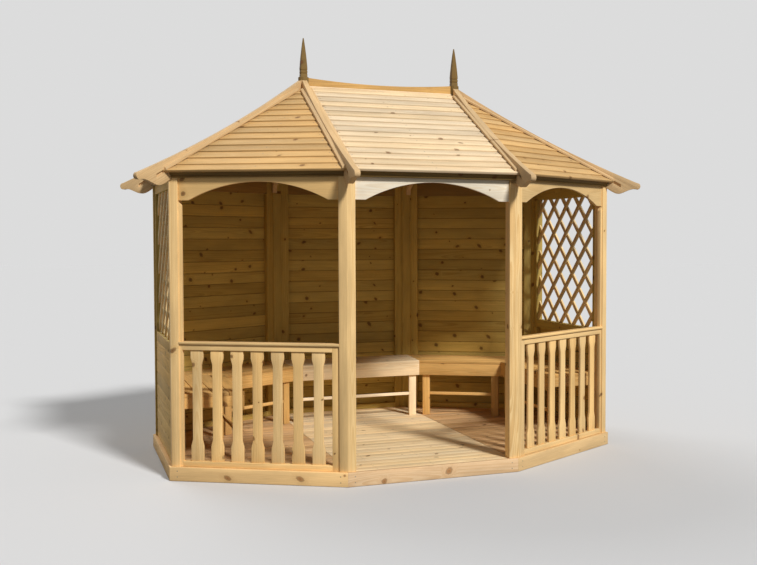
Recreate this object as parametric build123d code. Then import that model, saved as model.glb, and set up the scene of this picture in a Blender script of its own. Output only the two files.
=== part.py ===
"""Garden gazebo: a stretched hexagon of eight equal bays under a two-peaked roof.

Millimetres, +Z up. The origin is on the ground at the middle of the plan, +X runs
along the ridge and -Y faces the open entry. Two half hexagons, each about one peak,
are joined by the entry bay and the back bay. Every post stands at a corner of that
outline, and bays are named from the corner where they start, going anticlockwise.
"""
from build123d import *
import os
from dataclasses import dataclass
from math import atan, cos, radians, sin, tan

# Plan and levels
SIDE = 1230.0               # hexagon side, from post corner to post corner
RIDGE_LENGTH = 1230.0       # entry bay and ridge, from peak to peak
FLOOR_Z = 95.0              # top of plinth and deck
EAVES_Z = 2100.0            # top edge of the lowest roof board
RIDGE_Z = 2818.0            # roof boards carried on to the middle of the ridge
OVERHANG = 70.0             # roof boards past the post corner, along a hip

# Floor
PLINTH_THICKNESS = 38.0
PLINTH_PROJECTION = 18.0    # plinth face outside the post faces
DECK_THICKNESS = 28.0
JOIST_WIDTH = 45.0
JOIST_SPACING = 400.0

# Posts
POST_FACE = 58.0            # width of each of the two outer faces
POST_DEPTH = 76.0
STILE_WIDTH = 50.0          # set-back strip beside an opening
SHOULDER_WIDTH = 20.0       # what shows of it on a shouldered post
STILE_THICKNESS = 30.0
STILE_SETBACK = 10.0
SHOULDER_HEIGHT = 40.0      # ogee at its top

# Boarded panels
BOARD_THICKNESS = 19.0
PANEL_SETBACK = 10.0        # outer face of the boards behind the post face
FRAME_DEPTH = 40.0
FRAME_STILE = 66.0
FRAME_HEAD = 90.0
FOOT_RAIL = 42.0

# Lattice panels
LATTICE_RAIL_Z = 850.0      # underside of the rail below the lattice
LATTICE_RAIL = 70.0
LATTICE_STILE = 45.0
LATTICE_HEAD_Z = 1985.0
LATH_WIDTH = 35.0
LATH_THICKNESS = 14.0
LATH_PITCH = 160.0          # square to the laths

# Arched boards
ARCH_THICKNESS = 22.0
ARCH_SETBACK = 14.0
ARCH_FOOT_Z = 1900.0        # level ends of the lower edge
ARCH_RISE = 122.0
ARCH_LEVEL = 74.0           # length of each level end

# Balustrades
CAP_Z = 948.0               # top of the handrail
CAP_THICKNESS = 20.0
CAP_PROJECTION = 4.0
CAP_WIDTH = 64.0
RAIL_HEIGHT = 39.0
RAIL_THICKNESS = 40.0
SLAT_COUNT = 7
SLAT_WIDTH = 88.0
SLAT_WAIST = 64.0
SLAT_THICKNESS = 19.0
SLAT_HEAD = 75.0            # full width below the upper rail
SLAT_FOOT = 125.0           # full width above the lower rail
SLAT_SHOULDER = 45.0        # height of the slope between the two widths
SHOULDERED_POSTS = ["left_front", "right_front"]    # these carry the strip themselves

# Roof
ROOF_BOARD = 20.0
HIP_THICKNESS = 38.0
HIP_DEPTH = 105.0           # below the line of the roof boards
HIP_PEAK = 52.0             # above the roof boards at the peak
HIP_MIDDLE = 19.0           # above them half way down
TAIL_LENGTH = 261.0         # nose past the post corner
TAIL_NOSE_Z = 2053.0
TAIL_SEAT_Z = 2041.0        # where the hip board sits on the post
TAIL_SEAT_LENGTH = 106.0
TAIL_TOP_END = (25.0, -27.0)
# lower edge of the tail, each point back from the nose and below it
TAIL_SCROLL = [(25.0, 23.0), (91.0, 28.0), (131.0, 45.0), (166.0, 55.0), (221.0, 38.0)]
SLOT_LENGTH = 57.0          # housing for the roof boards, carried on past their ends
SLOT_DROP = 8.0             # below the line of the roof boards
SLOT_HEIGHT = 24.0
SLOT_WEB = 10.0             # wood left between the two slots of a tail
BATTEN_WIDTH = 25.0
BATTEN_THICKNESS = 14.0
BATTEN_END = 20.0           # short of the eaves
RAIL_SETBACK = 26.0         # rail's face behind the roof boards' ends
EAVES_RAIL_DEPTH = 40.0
BEAD_HEIGHT = 10.0
BEAD_PROJECTION = 7.0
RIDGE_THICKNESS = 38.0
RIDGE_TOP = 54.0            # above the roof boards at the finials
RIDGE_SAG = 31.0
RIDGE_DEPTH = 110.0
KING_POST = 78.0            # across flats
KING_POST_DEPTH = 150.0

# Finials
FINIAL_BASE = 51.0
FINIAL_TIP = 7.0
FINIAL_WAIST = 33.0         # width half way up the taper
FINIAL_HEIGHT = 298.0
FINIAL_FOOT = 70.0          # straight part below the taper
FINIAL_GROOVE = 5.0
FINIAL_GROOVES = [28.0, 52.0]    # above the foot

# Benches
SEAT_Z = 576.0
SEAT_FRONT = 500.0          # bench front behind the outer post line
BACK_SEAT_FRONT = 545.0     # the same for the deeper bench along the back
SEAT_THICKNESS = 24.0
APRON_HEIGHT = 128.0
APRON_THICKNESS = 24.0
LEG_WIDTH = 63.0
LEG_THICKNESS = 30.0
LEG_INSET = 23.0            # legs stand this far from a mitre
STRETCHER_HEIGHT = 25.0     # between the two legs of a section
STRETCHER_THICKNESS = 20.0
STRETCHER_BOTTOM = 178.0    # above the floor
BENCH_END = 30.0            # side benches stop this far behind the outer post corner
END_BOARD_SHARE = 0.78      # height of the end board against the apron

BAY_NAMES = ["front_left", "front", "front_right", "right", "back_right", "back",
             "back_left", "left"]
WALL_BAYS = ["back_right", "back", "back_left"]
LATTICE_BAYS = ["left", "right"]
ARCH_BAYS = ["front_left", "front", "front_right"]
BALUSTRADE_BAYS = ["front_left", "front_right"]
BENCH_BAYS = WALL_BAYS + LATTICE_BAYS

HALF_RIDGE = RIDGE_LENGTH / 2
COS30 = cos(radians(30))
BITE = 1.0                  # pieces glued side by side overlap this much


@dataclass(frozen=True)
class Corner:
    """A post corner, seen from the peak that its hip runs up to."""
    name: str
    peak_x: float
    bearing: float          # degrees, anticlockwise from +X

    @property
    def direction(self) -> Vector:
        return Vector(cos(radians(self.bearing)), sin(radians(self.bearing)), 0)

    def along(self, distance: float) -> Vector:
        """Point on the hip line in plan, a distance from the peak."""
        return Vector(self.peak_x, 0, 0) + self.direction * distance

    @property
    def point(self) -> Vector:
        return self.along(SIDE)

    @property
    def half_turn(self) -> float:
        """Half the angle between the two bays, in radians: less beside a straight bay."""
        return radians(15 if self.bearing in (90, 270) else 30)

    @property
    def upright(self) -> Plane:
        """Upright plane along the hip: x away from the peak, y up."""
        return Plane(origin=(self.peak_x, 0, 0), x_dir=self.direction,
                     z_dir=self.direction.cross(Vector(0, 0, 1)))


CORNERS = [
    Corner("left_front", -HALF_RIDGE, 210),
    Corner("front_left", -HALF_RIDGE, 270),
    Corner("front_right", HALF_RIDGE, 270),
    Corner("right_front", HALF_RIDGE, 330),
    Corner("right_back", HALF_RIDGE, 30),
    Corner("back_right", HALF_RIDGE, 90),
    Corner("back_left", -HALF_RIDGE, 90),
    Corner("left_back", -HALF_RIDGE, 150),
]


@dataclass(frozen=True)
class Bay:
    """The stretch between two post corners: x along it, y inwards, z up."""
    name: str
    start: Corner
    end: Corner

    @property
    def straight(self) -> bool:
        """True for the entry bay and the back bay, which end at two peaks."""
        return self.start.peak_x != self.end.peak_x

    @property
    def length(self) -> float:
        return (self.end.point - self.start.point).length

    @property
    def run(self) -> Vector:
        return (self.end.point - self.start.point).normalized()

    @property
    def inwards(self) -> Vector:
        return Vector(-self.run.Y, self.run.X, 0)

    @property
    def location(self) -> Location:
        return Plane(origin=self.start.point, x_dir=self.run, z_dir=(0, 0, 1)).location

    @property
    def reach(self) -> float:
        """Level distance from the post line in to the peak or ridge."""
        return SIDE if self.straight else SIDE * COS30

    @property
    def face_depth(self) -> float:
        """Outer face of the panel or arched board behind the post line."""
        return ARCH_SETBACK if self.name in ARCH_BAYS else PANEL_SETBACK

    @property
    def overhang(self) -> float:
        return OVERHANG if self.straight else OVERHANG * COS30

    @property
    def pitch(self) -> float:
        """Roof slope in radians."""
        return atan((RIDGE_Z - EAVES_Z) / (self.reach + self.overhang))

    def roof_top(self, depth: float) -> float:
        """Level of the roof boards' upper face, a depth inside the post line."""
        return EAVES_Z + (self.overhang + depth) * tan(self.pitch)

    def roof_under(self, depth: float) -> float:
        return self.roof_top(depth) - ROOF_BOARD / cos(self.pitch)

    def extrude_section(self, points: list, start: float, end: float) -> Part:
        """Sweep a (depth, level) outline along the bay."""
        outline = make_face(Polyline(*points, close=True))
        solid = extrude(Plane.YZ * outline, amount=end - start)
        return self.location * Pos(start, 0, 0) * solid

    def box(self, start: float, end: float, near: float, far: float, low: float,
            high: float) -> Part:
        points = [(near, low), (far, low), (far, high), (near, high)]
        return self.extrude_section(points, start, end)

    def face_outline(self, points: list, near: float, thickness: float) -> Part:
        """Cut a board's (run, level) outline from flat stock that faces outwards."""
        return self.face_solid(make_face(Polyline(*points, close=True)), near, thickness)

    def face_solid(self, outline, near: float, thickness: float) -> Part:
        upright = Plane(origin=(0, near, 0), x_dir=(1, 0, 0), z_dir=(0, -1, 0))
        return self.location * extrude(upright * outline, amount=-thickness)


BAYS = {
    name: Bay(name, CORNERS[index], CORNERS[(index + 1) % len(CORNERS)])
    for index, name in enumerate(BAY_NAMES)
}


def outline_of(insets: list) -> list:
    """Plan outline with each bay moved inwards by its own inset, in the order of the bays."""
    points = []
    for index, corner in enumerate(CORNERS):
        before = BAYS[BAY_NAMES[index - 1]].inwards
        after = BAYS[BAY_NAMES[index]].inwards
        shared = before.dot(after)
        first = (insets[index - 1] - shared * insets[index]) / (1 - shared * shared)
        second = (insets[index] - shared * insets[index - 1]) / (1 - shared * shared)
        points.append(corner.point + before * first + after * second)
    return points


def outline_at(inset: float) -> list:
    """Plan outline moved inwards by an inset, or outwards where it is negative."""
    return outline_of([inset] * len(CORNERS))


def plan_prism(points: list, low: float, high: float) -> Part:
    """Upright prism on a plan outline."""
    outline = make_face(Polyline(*[(p.X, p.Y) for p in points], close=True))
    return Pos(0, 0, low) * extrude(outline, amount=high - low)


def octagon(inset: float, low: float, high: float) -> Part:
    return plan_prism(outline_at(inset), low, high)


def roof_wedge(bay: Bay) -> Part:
    """Everything above the plan area of one roof slope, between its hip boards."""
    half = HIP_THICKNESS / 2
    if bay.straight:
        ridge_face = bay.inwards * (-RIDGE_THICKNESS / 2)
        tips = [bay.start.along(0) + bay.run * half + ridge_face,
                bay.end.along(0) - bay.run * half + ridge_face]
    else:
        tips = [bay.start.along(0) - bay.inwards * (half / sin(radians(30)))]
    feet = [tips[0] + bay.start.direction * 2 * SIDE, tips[-1] + bay.end.direction * 2 * SIDE]
    return plan_prism([tips[0]] + feet + tips[1:], 0, 2 * RIDGE_Z)


def king_post(peak_x: float) -> Part:
    """Twelve-sided block that the hip boards and the ridge butt against."""
    sides = RegularPolygon(KING_POST / 2, 12, major_radius=False, rotation=15)
    low = RIDGE_Z - KING_POST_DEPTH
    return Pos(peak_x, 0, low) * extrude(sides, amount=KING_POST_DEPTH + max(HIP_PEAK, RIDGE_TOP))


def make_floor() -> Part:
    return octagon(-PLINTH_PROJECTION + PLINTH_THICKNESS, FLOOR_Z - DECK_THICKNESS, FLOOR_Z)


def make_joists() -> Part:
    """Joists across the floor, standing on the ground under the deck."""
    area = octagon(-PLINTH_PROJECTION + PLINTH_THICKNESS, 0, FLOOR_Z - DECK_THICKNESS)
    half_width = HALF_RIDGE + SIDE * COS30
    count = int(half_width / JOIST_SPACING)
    joists = []
    for step in range(-count, count + 1):
        joist = Box(JOIST_WIDTH, 3 * SIDE, 2 * FLOOR_Z)
        joists.append(area & (Pos(step * JOIST_SPACING, 0, 0) * joist))
    return Compound(children=[solid for joist in joists for solid in joist.solids()])


def make_plinth() -> Part:
    outer = octagon(-PLINTH_PROJECTION, 0, FLOOR_Z)
    return outer - octagon(-PLINTH_PROJECTION + PLINTH_THICKNESS, 0, FLOOR_Z)


def shoulder_stile(bay: Bay, at_start: bool) -> Part:
    """Set-back strip beside an outer opening, rounded off under the arched board."""
    root = POST_FACE - BITE
    tip = POST_FACE + SHOULDER_WIDTH
    low = ARCH_FOOT_Z - SHOULDER_HEIGHT
    ogee = Spline((tip, low), (POST_FACE, ARCH_FOOT_Z), tangents=[(0, 1), (0, 1)])
    rest = Polyline((POST_FACE, ARCH_FOOT_Z), (root, ARCH_FOOT_Z), (root, FLOOR_Z),
                    (tip, FLOOR_Z), (tip, low))
    face = make_face(ogee.edges() + rest.edges())
    if not at_start:
        face = Pos(bay.length, 0, 0) * mirror(face, about=Plane.YZ)
    return bay.face_solid(face, STILE_SETBACK, STILE_THICKNESS)


def make_post(index: int) -> Part:
    """Corner post with two outer faces, forked over the hip board that it carries."""
    corner = CORNERS[index]
    before = BAYS[BAY_NAMES[index - 1]]
    after = BAYS[BAY_NAMES[index]]
    points = [
        corner.point,
        corner.point + after.run * POST_FACE,
        corner.point + after.run * POST_FACE + after.inwards * POST_DEPTH,
        corner.point - before.run * POST_FACE + before.inwards * POST_DEPTH,
        corner.point - before.run * POST_FACE,
    ]
    post = plan_prism(points, FLOOR_Z, RIDGE_Z)
    for bay in (before, after):
        post -= roof_space(bay)
    if corner.name in SHOULDERED_POSTS:
        at_start = after.name in BALUSTRADE_BAYS
        post += shoulder_stile(after if at_start else before, at_start)
    return post - hip_board(corner)


def roof_space(bay: Bay) -> Part:
    """All the space above the underside of one roof slope."""
    depth = SIDE
    points = [
        (-depth, bay.roof_under(-depth)),
        (depth, bay.roof_under(depth)),
        (depth, 2 * RIDGE_Z),
        (-depth, 2 * RIDGE_Z),
    ]
    return bay.extrude_section(points, -SIDE, bay.length + SIDE)


def panel_head(bay: Bay, near: float, far: float) -> list:
    """Upper end of a section that is bevelled to the roof, far side first."""
    return [(far, bay.roof_under(far)), (near, bay.roof_under(near))]


def clear_of_hips(panel: Part, bay: Bay) -> Part:
    """Panel with the inner corners of its frame notched round the two hip boards."""
    return panel - hip_board(bay.start) - hip_board(bay.end)


def make_wall(bay: Bay) -> Part:
    """Boarded panel with its frame on the inside."""
    start = POST_FACE
    end = bay.length - POST_FACE
    near = PANEL_SETBACK
    back = near + BOARD_THICKNESS
    far = back + FRAME_DEPTH
    boards = bay.extrude_section(
        [(near, FLOOR_Z), (back, FLOOR_Z)] + panel_head(bay, near, back), start, end)
    wall = boards
    for side_start in (start, end - FRAME_STILE):
        stile = bay.extrude_section(
            [(back, FLOOR_Z), (far, FLOOR_Z)] + panel_head(bay, back, far),
            side_start, side_start + FRAME_STILE)
        wall += stile
    head = bay.extrude_section(
        [(back, bay.roof_under(near) - FRAME_HEAD), (far, bay.roof_under(near) - FRAME_HEAD)]
        + panel_head(bay, back, far), start, end)
    foot = bay.box(start, end, back, far, FLOOR_Z, FLOOR_Z + FOOT_RAIL)
    return clear_of_hips(wall + head + foot, bay)


def make_lattice_side(bay: Bay) -> Part:
    """Side panel: boards below a rail and diagonal laths above it."""
    start = POST_FACE
    end = bay.length - POST_FACE
    near = PANEL_SETBACK
    back = near + BOARD_THICKNESS
    far = back + FRAME_DEPTH
    low = LATTICE_RAIL_Z + LATTICE_RAIL
    side = bay.box(start, end, near, back, FLOOR_Z, LATTICE_RAIL_Z)
    for side_start in (start, end - LATTICE_STILE):
        side += bay.extrude_section(
            [(near, LATTICE_RAIL_Z), (back, LATTICE_RAIL_Z), (back, FLOOR_Z), (far, FLOOR_Z)]
            + panel_head(bay, near, far), side_start, side_start + LATTICE_STILE)
    side += bay.box(start, end, near, far, LATTICE_RAIL_Z, low)
    side += bay.extrude_section(
        [(near, LATTICE_HEAD_Z), (far, LATTICE_HEAD_Z)] + panel_head(bay, near, far), start, end)
    middle = (near + far) / 2
    opening = bay.box(start + LATTICE_STILE / 2, end - LATTICE_STILE / 2, near, far,
                      low - LATTICE_RAIL / 2, LATTICE_HEAD_Z + LATTICE_STILE / 2)
    width = end - start
    height = LATTICE_HEAD_Z - low
    count = int((width + height) / (2 * LATH_PITCH)) + 1
    layers = []
    for angle, front in ((45, middle - LATH_THICKNESS), (-45, middle)):
        laths = []
        for step in range(-count, count + 1):
            lath = Rectangle(2 * (width + height), LATH_WIDTH)
            place = Pos(bay.length / 2, (low + LATTICE_HEAD_Z) / 2, 0) * Rot(0, 0, angle)
            face = place * Pos(0, step * LATH_PITCH, 0) * lath
            laths.append(bay.face_solid(face, front, LATH_THICKNESS) & opening)
        layers += [solid for lath in laths for solid in lath.solids()]
    return clear_of_hips(side.fuse(*layers), bay)


def make_arch(bay: Bay) -> Part:
    """Board over an opening, its lower edge arched between two level ends."""
    start = POST_FACE
    end = bay.length - POST_FACE
    near = ARCH_SETBACK
    far = near + ARCH_THICKNESS
    stock = bay.extrude_section(
        [(near, ARCH_FOOT_Z), (far, ARCH_FOOT_Z)] + panel_head(bay, near, far), start, end)
    spring = start + ARCH_LEVEL
    crown = (bay.length / 2, ARCH_FOOT_Z + ARCH_RISE)
    curve = ThreePointArc((spring, ARCH_FOOT_Z), crown, (bay.length - spring, ARCH_FOOT_Z))
    chord = Line((bay.length - spring, ARCH_FOOT_Z), (spring, ARCH_FOOT_Z))
    cut = make_face(curve.edges() + chord.edges())
    return stock - bay.face_solid(cut, near - ARCH_THICKNESS, 3 * ARCH_THICKNESS)


def slat_outline(middle: float) -> list:
    """Slat with a wide head and foot and a narrower waist between them."""
    foot = FLOOR_Z + RAIL_HEIGHT
    head = CAP_Z - CAP_THICKNESS - RAIL_HEIGHT
    wide = SLAT_WIDTH / 2
    slim = SLAT_WAIST / 2
    right = [
        (middle + wide, foot),
        (middle + wide, foot + SLAT_FOOT - SLAT_SHOULDER / 2),
        (middle + slim, foot + SLAT_FOOT + SLAT_SHOULDER / 2),
        (middle + slim, head - SLAT_HEAD - SLAT_SHOULDER / 2),
        (middle + wide, head - SLAT_HEAD + SLAT_SHOULDER / 2),
        (middle + wide, head),
    ]
    left = [(2 * middle - x, y) for x, y in reversed(right)]
    return right + left


def make_balustrade(bay: Bay) -> Part:
    """Handrail, rails, two stiles and shaped slats, as one panel."""
    start = POST_FACE
    end = bay.length - POST_FACE
    first = start + (SHOULDER_WIDTH if bay.start.name in SHOULDERED_POSTS else STILE_WIDTH)
    last = end - (SHOULDER_WIDTH if bay.end.name in SHOULDERED_POSTS else STILE_WIDTH)
    near = STILE_SETBACK
    under_cap = CAP_Z - CAP_THICKNESS
    panel = bay.box(start, end, -CAP_PROJECTION, CAP_WIDTH - CAP_PROJECTION, under_cap, CAP_Z)
    for rail_low in (FLOOR_Z, under_cap - RAIL_HEIGHT):
        panel += bay.box(first, last, near, near + RAIL_THICKNESS, rail_low, rail_low + RAIL_HEIGHT)
    for corner, stile_start, stile_end in ((bay.start, start, first), (bay.end, last, end)):
        if corner.name in SHOULDERED_POSTS:
            panel -= shoulder_stile(bay, corner is bay.start)
        else:
            panel += bay.box(stile_start, stile_end, near, near + STILE_THICKNESS, FLOOR_Z,
                             under_cap)
    gap = (last - first - SLAT_COUNT * SLAT_WIDTH) / (SLAT_COUNT + 1)
    slat_near = near + (RAIL_THICKNESS - SLAT_THICKNESS) / 2
    for step in range(SLAT_COUNT):
        middle = first + gap + SLAT_WIDTH / 2 + step * (SLAT_WIDTH + gap)
        panel += bay.face_outline(slat_outline(middle), slat_near, SLAT_THICKNESS)
    return panel


def make_roof(bay: Bay) -> Part:
    """Boarded slope between two hip boards."""
    inner = bay.reach
    outer = -bay.overhang
    lean = (ROOF_BOARD * sin(bay.pitch), ROOF_BOARD * cos(bay.pitch))
    points = [
        (outer, EAVES_Z),
        (inner, RIDGE_Z),
        (inner, bay.roof_under(inner)),
        (outer + lean[0], EAVES_Z - lean[1]),
    ]
    slope = bay.extrude_section(points, -SIDE, bay.length + SIDE) & roof_wedge(bay)
    for peak_x in {bay.start.peak_x, bay.end.peak_x}:
        slope -= king_post(peak_x)
    return slope


def batten(bay: Bay, corner: Corner) -> Part:
    """Strip on the roof boards beside a hip board."""
    rise = BATTEN_THICKNESS / cos(bay.pitch)
    points = [
        (-SIDE, bay.roof_top(-SIDE)),
        (SIDE, bay.roof_top(SIDE)),
        (SIDE, bay.roof_top(SIDE) + rise),
        (-SIDE, bay.roof_top(-SIDE) + rise),
    ]
    layer = bay.extrude_section(points, -SIDE, bay.length + SIDE)
    towards = 1 if bay.start is corner else -1
    side = Vector(-corner.direction.Y, corner.direction.X, 0) * towards
    near = side * (HIP_THICKNESS / 2 - BITE)
    far = side * (HIP_THICKNESS / 2 + BATTEN_WIDTH)
    first = 2 * (HIP_THICKNESS / 2 + BATTEN_WIDTH)
    last = SIDE + OVERHANG - BATTEN_END
    points = [corner.along(first) + near, corner.along(last) + near,
              corner.along(last) + far, corner.along(first) + far]
    return layer & plan_prism(points, 0, 2 * RIDGE_Z)


def hip_line(distance: float) -> float:
    """Level of the roof boards on a hip, a distance from the peak."""
    return RIDGE_Z - distance * (RIDGE_Z - EAVES_Z) / (SIDE + OVERHANG)


def hip_board(corner: Corner) -> Part:
    """Board on edge along a hip, hollowed along its top, with a scrolled tail."""
    nose = SIDE + TAIL_LENGTH
    seat_end = SIDE - TAIL_SEAT_LENGTH
    peak = (0, RIDGE_Z + HIP_PEAK)
    top_end = (nose - TAIL_TOP_END[0], TAIL_NOSE_Z - TAIL_TOP_END[1])
    middle = top_end[0] / 2
    seat = (SIDE, TAIL_SEAT_Z)
    scroll = [(nose - back, TAIL_NOSE_Z - drop) for back, drop in TAIL_SCROLL]
    edges = [
        ThreePointArc(peak, (middle, hip_line(middle) + HIP_MIDDLE), top_end),
        ThreePointArc(top_end, (nose, TAIL_NOSE_Z), scroll[0]),
        Spline(*scroll, seat),
        Polyline(seat, (seat_end, TAIL_SEAT_Z), (seat_end, hip_line(seat_end) - HIP_DEPTH),
                 (0, hip_line(0) - HIP_DEPTH), peak),
    ]
    outline = make_face([edge for wire in edges for edge in wire.edges()])
    board = extrude(corner.upright * outline, amount=HIP_THICKNESS / 2, both=True)
    return board - king_post(corner.peak_x) - tail_slots(corner)


def tail_slots(corner: Corner) -> Part:
    """Slots in both faces of a tail, in line with the roof boards."""
    first = SIDE + OVERHANG - HIP_THICKNESS / 2
    last = first + SLOT_LENGTH
    points = [(first, hip_line(first) - SLOT_DROP), (last, hip_line(last) - SLOT_DROP),
              (last, hip_line(last) - SLOT_DROP - SLOT_HEIGHT),
              (first, hip_line(first) - SLOT_DROP - SLOT_HEIGHT)]
    outline = corner.upright * make_face(Polyline(*points, close=True))
    stock = extrude(outline, amount=HIP_THICKNESS, both=True)
    return stock - extrude(outline, amount=SLOT_WEB / 2, both=True)


def make_hip(index: int) -> Part:
    corner = CORNERS[index]
    hip = hip_board(corner)
    for bay in (BAYS[BAY_NAMES[index - 1]], BAYS[BAY_NAMES[index]]):
        hip += batten(bay, corner)
    return hip


def make_eaves_rail(bay: Bay) -> Part:
    """Rail under the lowest roof board, from the panel out to a sloping face and bead."""
    slope = Vector(-cos(bay.pitch), -sin(bay.pitch), 0)
    down = Vector(sin(bay.pitch), -cos(bay.pitch), 0)
    top = Vector(-bay.overhang, EAVES_Z, 0) + down * ROOF_BOARD - slope * RAIL_SETBACK
    bead = top + down * EAVES_RAIL_DEPTH + slope * BEAD_PROJECTION
    foot = bead + down * BEAD_HEIGHT
    back = bay.face_depth
    corners = [top, top + down * EAVES_RAIL_DEPTH, bead, foot]
    points = [(p.X, p.Y) for p in corners] + [(back, foot.Y), (back, bay.roof_under(back))]
    return bay.extrude_section(points, -SIDE, bay.length + SIDE) & roof_wedge(bay)


def make_eaves() -> Part:
    rails = []
    for bay in BAYS.values():
        rail = make_eaves_rail(bay)
        for corner in CORNERS:
            rail -= POSTS[corner.name]
        rails += rail.solids()
    return Compound(children=rails)


def make_ridge() -> Part:
    """Board on edge from peak to peak, hollowed along its top."""
    low = RIDGE_Z - RIDGE_DEPTH
    high = RIDGE_Z + RIDGE_TOP
    edges = [
        ThreePointArc((-HALF_RIDGE, high), (0, high - RIDGE_SAG), (HALF_RIDGE, high)),
        Polyline((HALF_RIDGE, high), (HALF_RIDGE, low), (-HALF_RIDGE, low), (-HALF_RIDGE, high)),
    ]
    outline = make_face([edge for wire in edges for edge in wire.edges()])
    board = extrude(Plane.XZ * outline, amount=RIDGE_THICKNESS / 2, both=True)
    return board - king_post(-HALF_RIDGE) - king_post(HALF_RIDGE)


def make_finial(peak_x: float) -> Part:
    """Grooved square spire on top of a king post."""
    foot_z = RIDGE_Z + max(HIP_PEAK, RIDGE_TOP)
    foot = Box(FINIAL_BASE, FINIAL_BASE, FINIAL_FOOT, align=(Align.CENTER, Align.CENTER, Align.MIN))
    for level in FINIAL_GROOVES:
        ring = Box(2 * FINIAL_BASE, 2 * FINIAL_BASE, FINIAL_GROOVE)
        core = Box(FINIAL_BASE - FINIAL_GROOVE, FINIAL_BASE - FINIAL_GROOVE, FINIAL_GROOVE)
        foot -= Pos(0, 0, level) * (ring - core)
    base = (FINIAL_BASE / 2, FINIAL_FOOT)
    waist = (FINIAL_WAIST / 2, (FINIAL_FOOT + FINIAL_HEIGHT) / 2)
    tip = (FINIAL_TIP / 2, FINIAL_HEIGHT)
    side = ThreePointArc(base, waist, tip)
    rest = Polyline(tip, (0, FINIAL_HEIGHT), (0, FINIAL_FOOT), base)
    half = make_face(side.edges() + rest.edges())
    taper = half + mirror(half, about=Plane.YZ)
    spire = (extrude(Plane.XZ * taper, amount=FINIAL_BASE, both=True)
             & extrude(Plane.YZ * taper, amount=FINIAL_BASE, both=True))
    return king_post(peak_x) + Pos(peak_x, 0, foot_z) * (foot + spire)


def make_bench(name: str) -> Part:
    """Bench section along one bay, mitred to its neighbours."""
    bay = BAYS[name]
    wall_face = PANEL_SETBACK + BOARD_THICKNESS + FRAME_DEPTH
    sector = bench_sector(bay)
    seat = octagon(wall_face, SEAT_Z - SEAT_THICKNESS, SEAT_Z)
    seat -= plan_prism(bench_line(0), FLOOR_Z, SEAT_Z)
    apron = plan_prism(bench_line(APRON_THICKNESS), SEAT_Z - APRON_HEIGHT, SEAT_Z)
    apron -= plan_prism(bench_line(0), FLOOR_Z, SEAT_Z)
    bench = (seat & sector) + (apron & sector)
    inner_start, inner_end = bench_span(bay)
    leg_near = bench_front(name) - APRON_THICKNESS - LEG_THICKNESS
    for leg_start in (inner_start, inner_end - LEG_WIDTH):
        bench += bay.box(leg_start, leg_start + LEG_WIDTH, leg_near, leg_near + LEG_THICKNESS,
                         FLOOR_Z, SEAT_Z - SEAT_THICKNESS)
    stretcher_near = leg_near + (LEG_THICKNESS - STRETCHER_THICKNESS) / 2
    stretcher_low = FLOOR_Z + STRETCHER_BOTTOM
    bench += bay.box(inner_start, inner_end, stretcher_near, stretcher_near + STRETCHER_THICKNESS,
                     stretcher_low, stretcher_low + STRETCHER_HEIGHT)
    if name in LATTICE_BAYS:
        end_low = SEAT_Z - APRON_HEIGHT * END_BOARD_SHARE
        at_start = name == "right"
        first = BENCH_END if at_start else bay.length - BENCH_END - APRON_THICKNESS
        bench += bay.box(first, first + APRON_THICKNESS, wall_face, leg_near, end_low,
                         SEAT_Z - SEAT_THICKNESS)
    for corner in CORNERS:
        bench -= POSTS[corner.name]
    return bench


def bench_front(name: str) -> float:
    """Front of a bench behind the outer post line of its bay."""
    return BACK_SEAT_FRONT if name == "back" else SEAT_FRONT


def bench_line(behind: float) -> list:
    """Plan outline along the bench fronts, or a distance behind them."""
    return outline_of([bench_front(name) - behind for name in BAY_NAMES])


def bench_span(bay: Bay) -> tuple:
    """Where the legs of a bench section start and end along its bay."""
    mitres = bench_line(0)
    first = BAY_NAMES.index(bay.name)
    second = (first + 1) % len(CORNERS)
    start = (mitres[first] - bay.start.point).dot(bay.run) + LEG_INSET
    end = (mitres[second] - bay.start.point).dot(bay.run) - LEG_INSET
    if bay.start.name in SHOULDERED_POSTS:
        start = BENCH_END
    if bay.end.name in SHOULDERED_POSTS:
        end = bay.length - BENCH_END
    return start, end


def bench_sector(bay: Bay) -> Part:
    """Plan area of a bench section, mitred but for the ends at the front openings."""
    outer = outline_at(0)
    mitres = bench_line(0)
    first = BAY_NAMES.index(bay.name)
    second = (first + 1) % len(CORNERS)
    beyond = 1 + APRON_THICKNESS / SEAT_FRONT
    start_edge = [outer[first], outer[first] + (mitres[first] - outer[first]) * beyond]
    end_edge = [outer[second], outer[second] + (mitres[second] - outer[second]) * beyond]
    depth = bay.inwards * bench_front(bay.name) * beyond
    if bay.start.name in SHOULDERED_POSTS:
        end_point = outer[first] + bay.run * BENCH_END
        start_edge = [end_point, end_point + depth]
    if bay.end.name in SHOULDERED_POSTS:
        end_point = outer[second] - bay.run * BENCH_END
        end_edge = [end_point, end_point + depth]
    points = [start_edge[0], end_edge[0], end_edge[1], start_edge[1]]
    return plan_prism(points, 0, RIDGE_Z)


POSTS = {corner.name: make_post(index) for index, corner in enumerate(CORNERS)}


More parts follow.
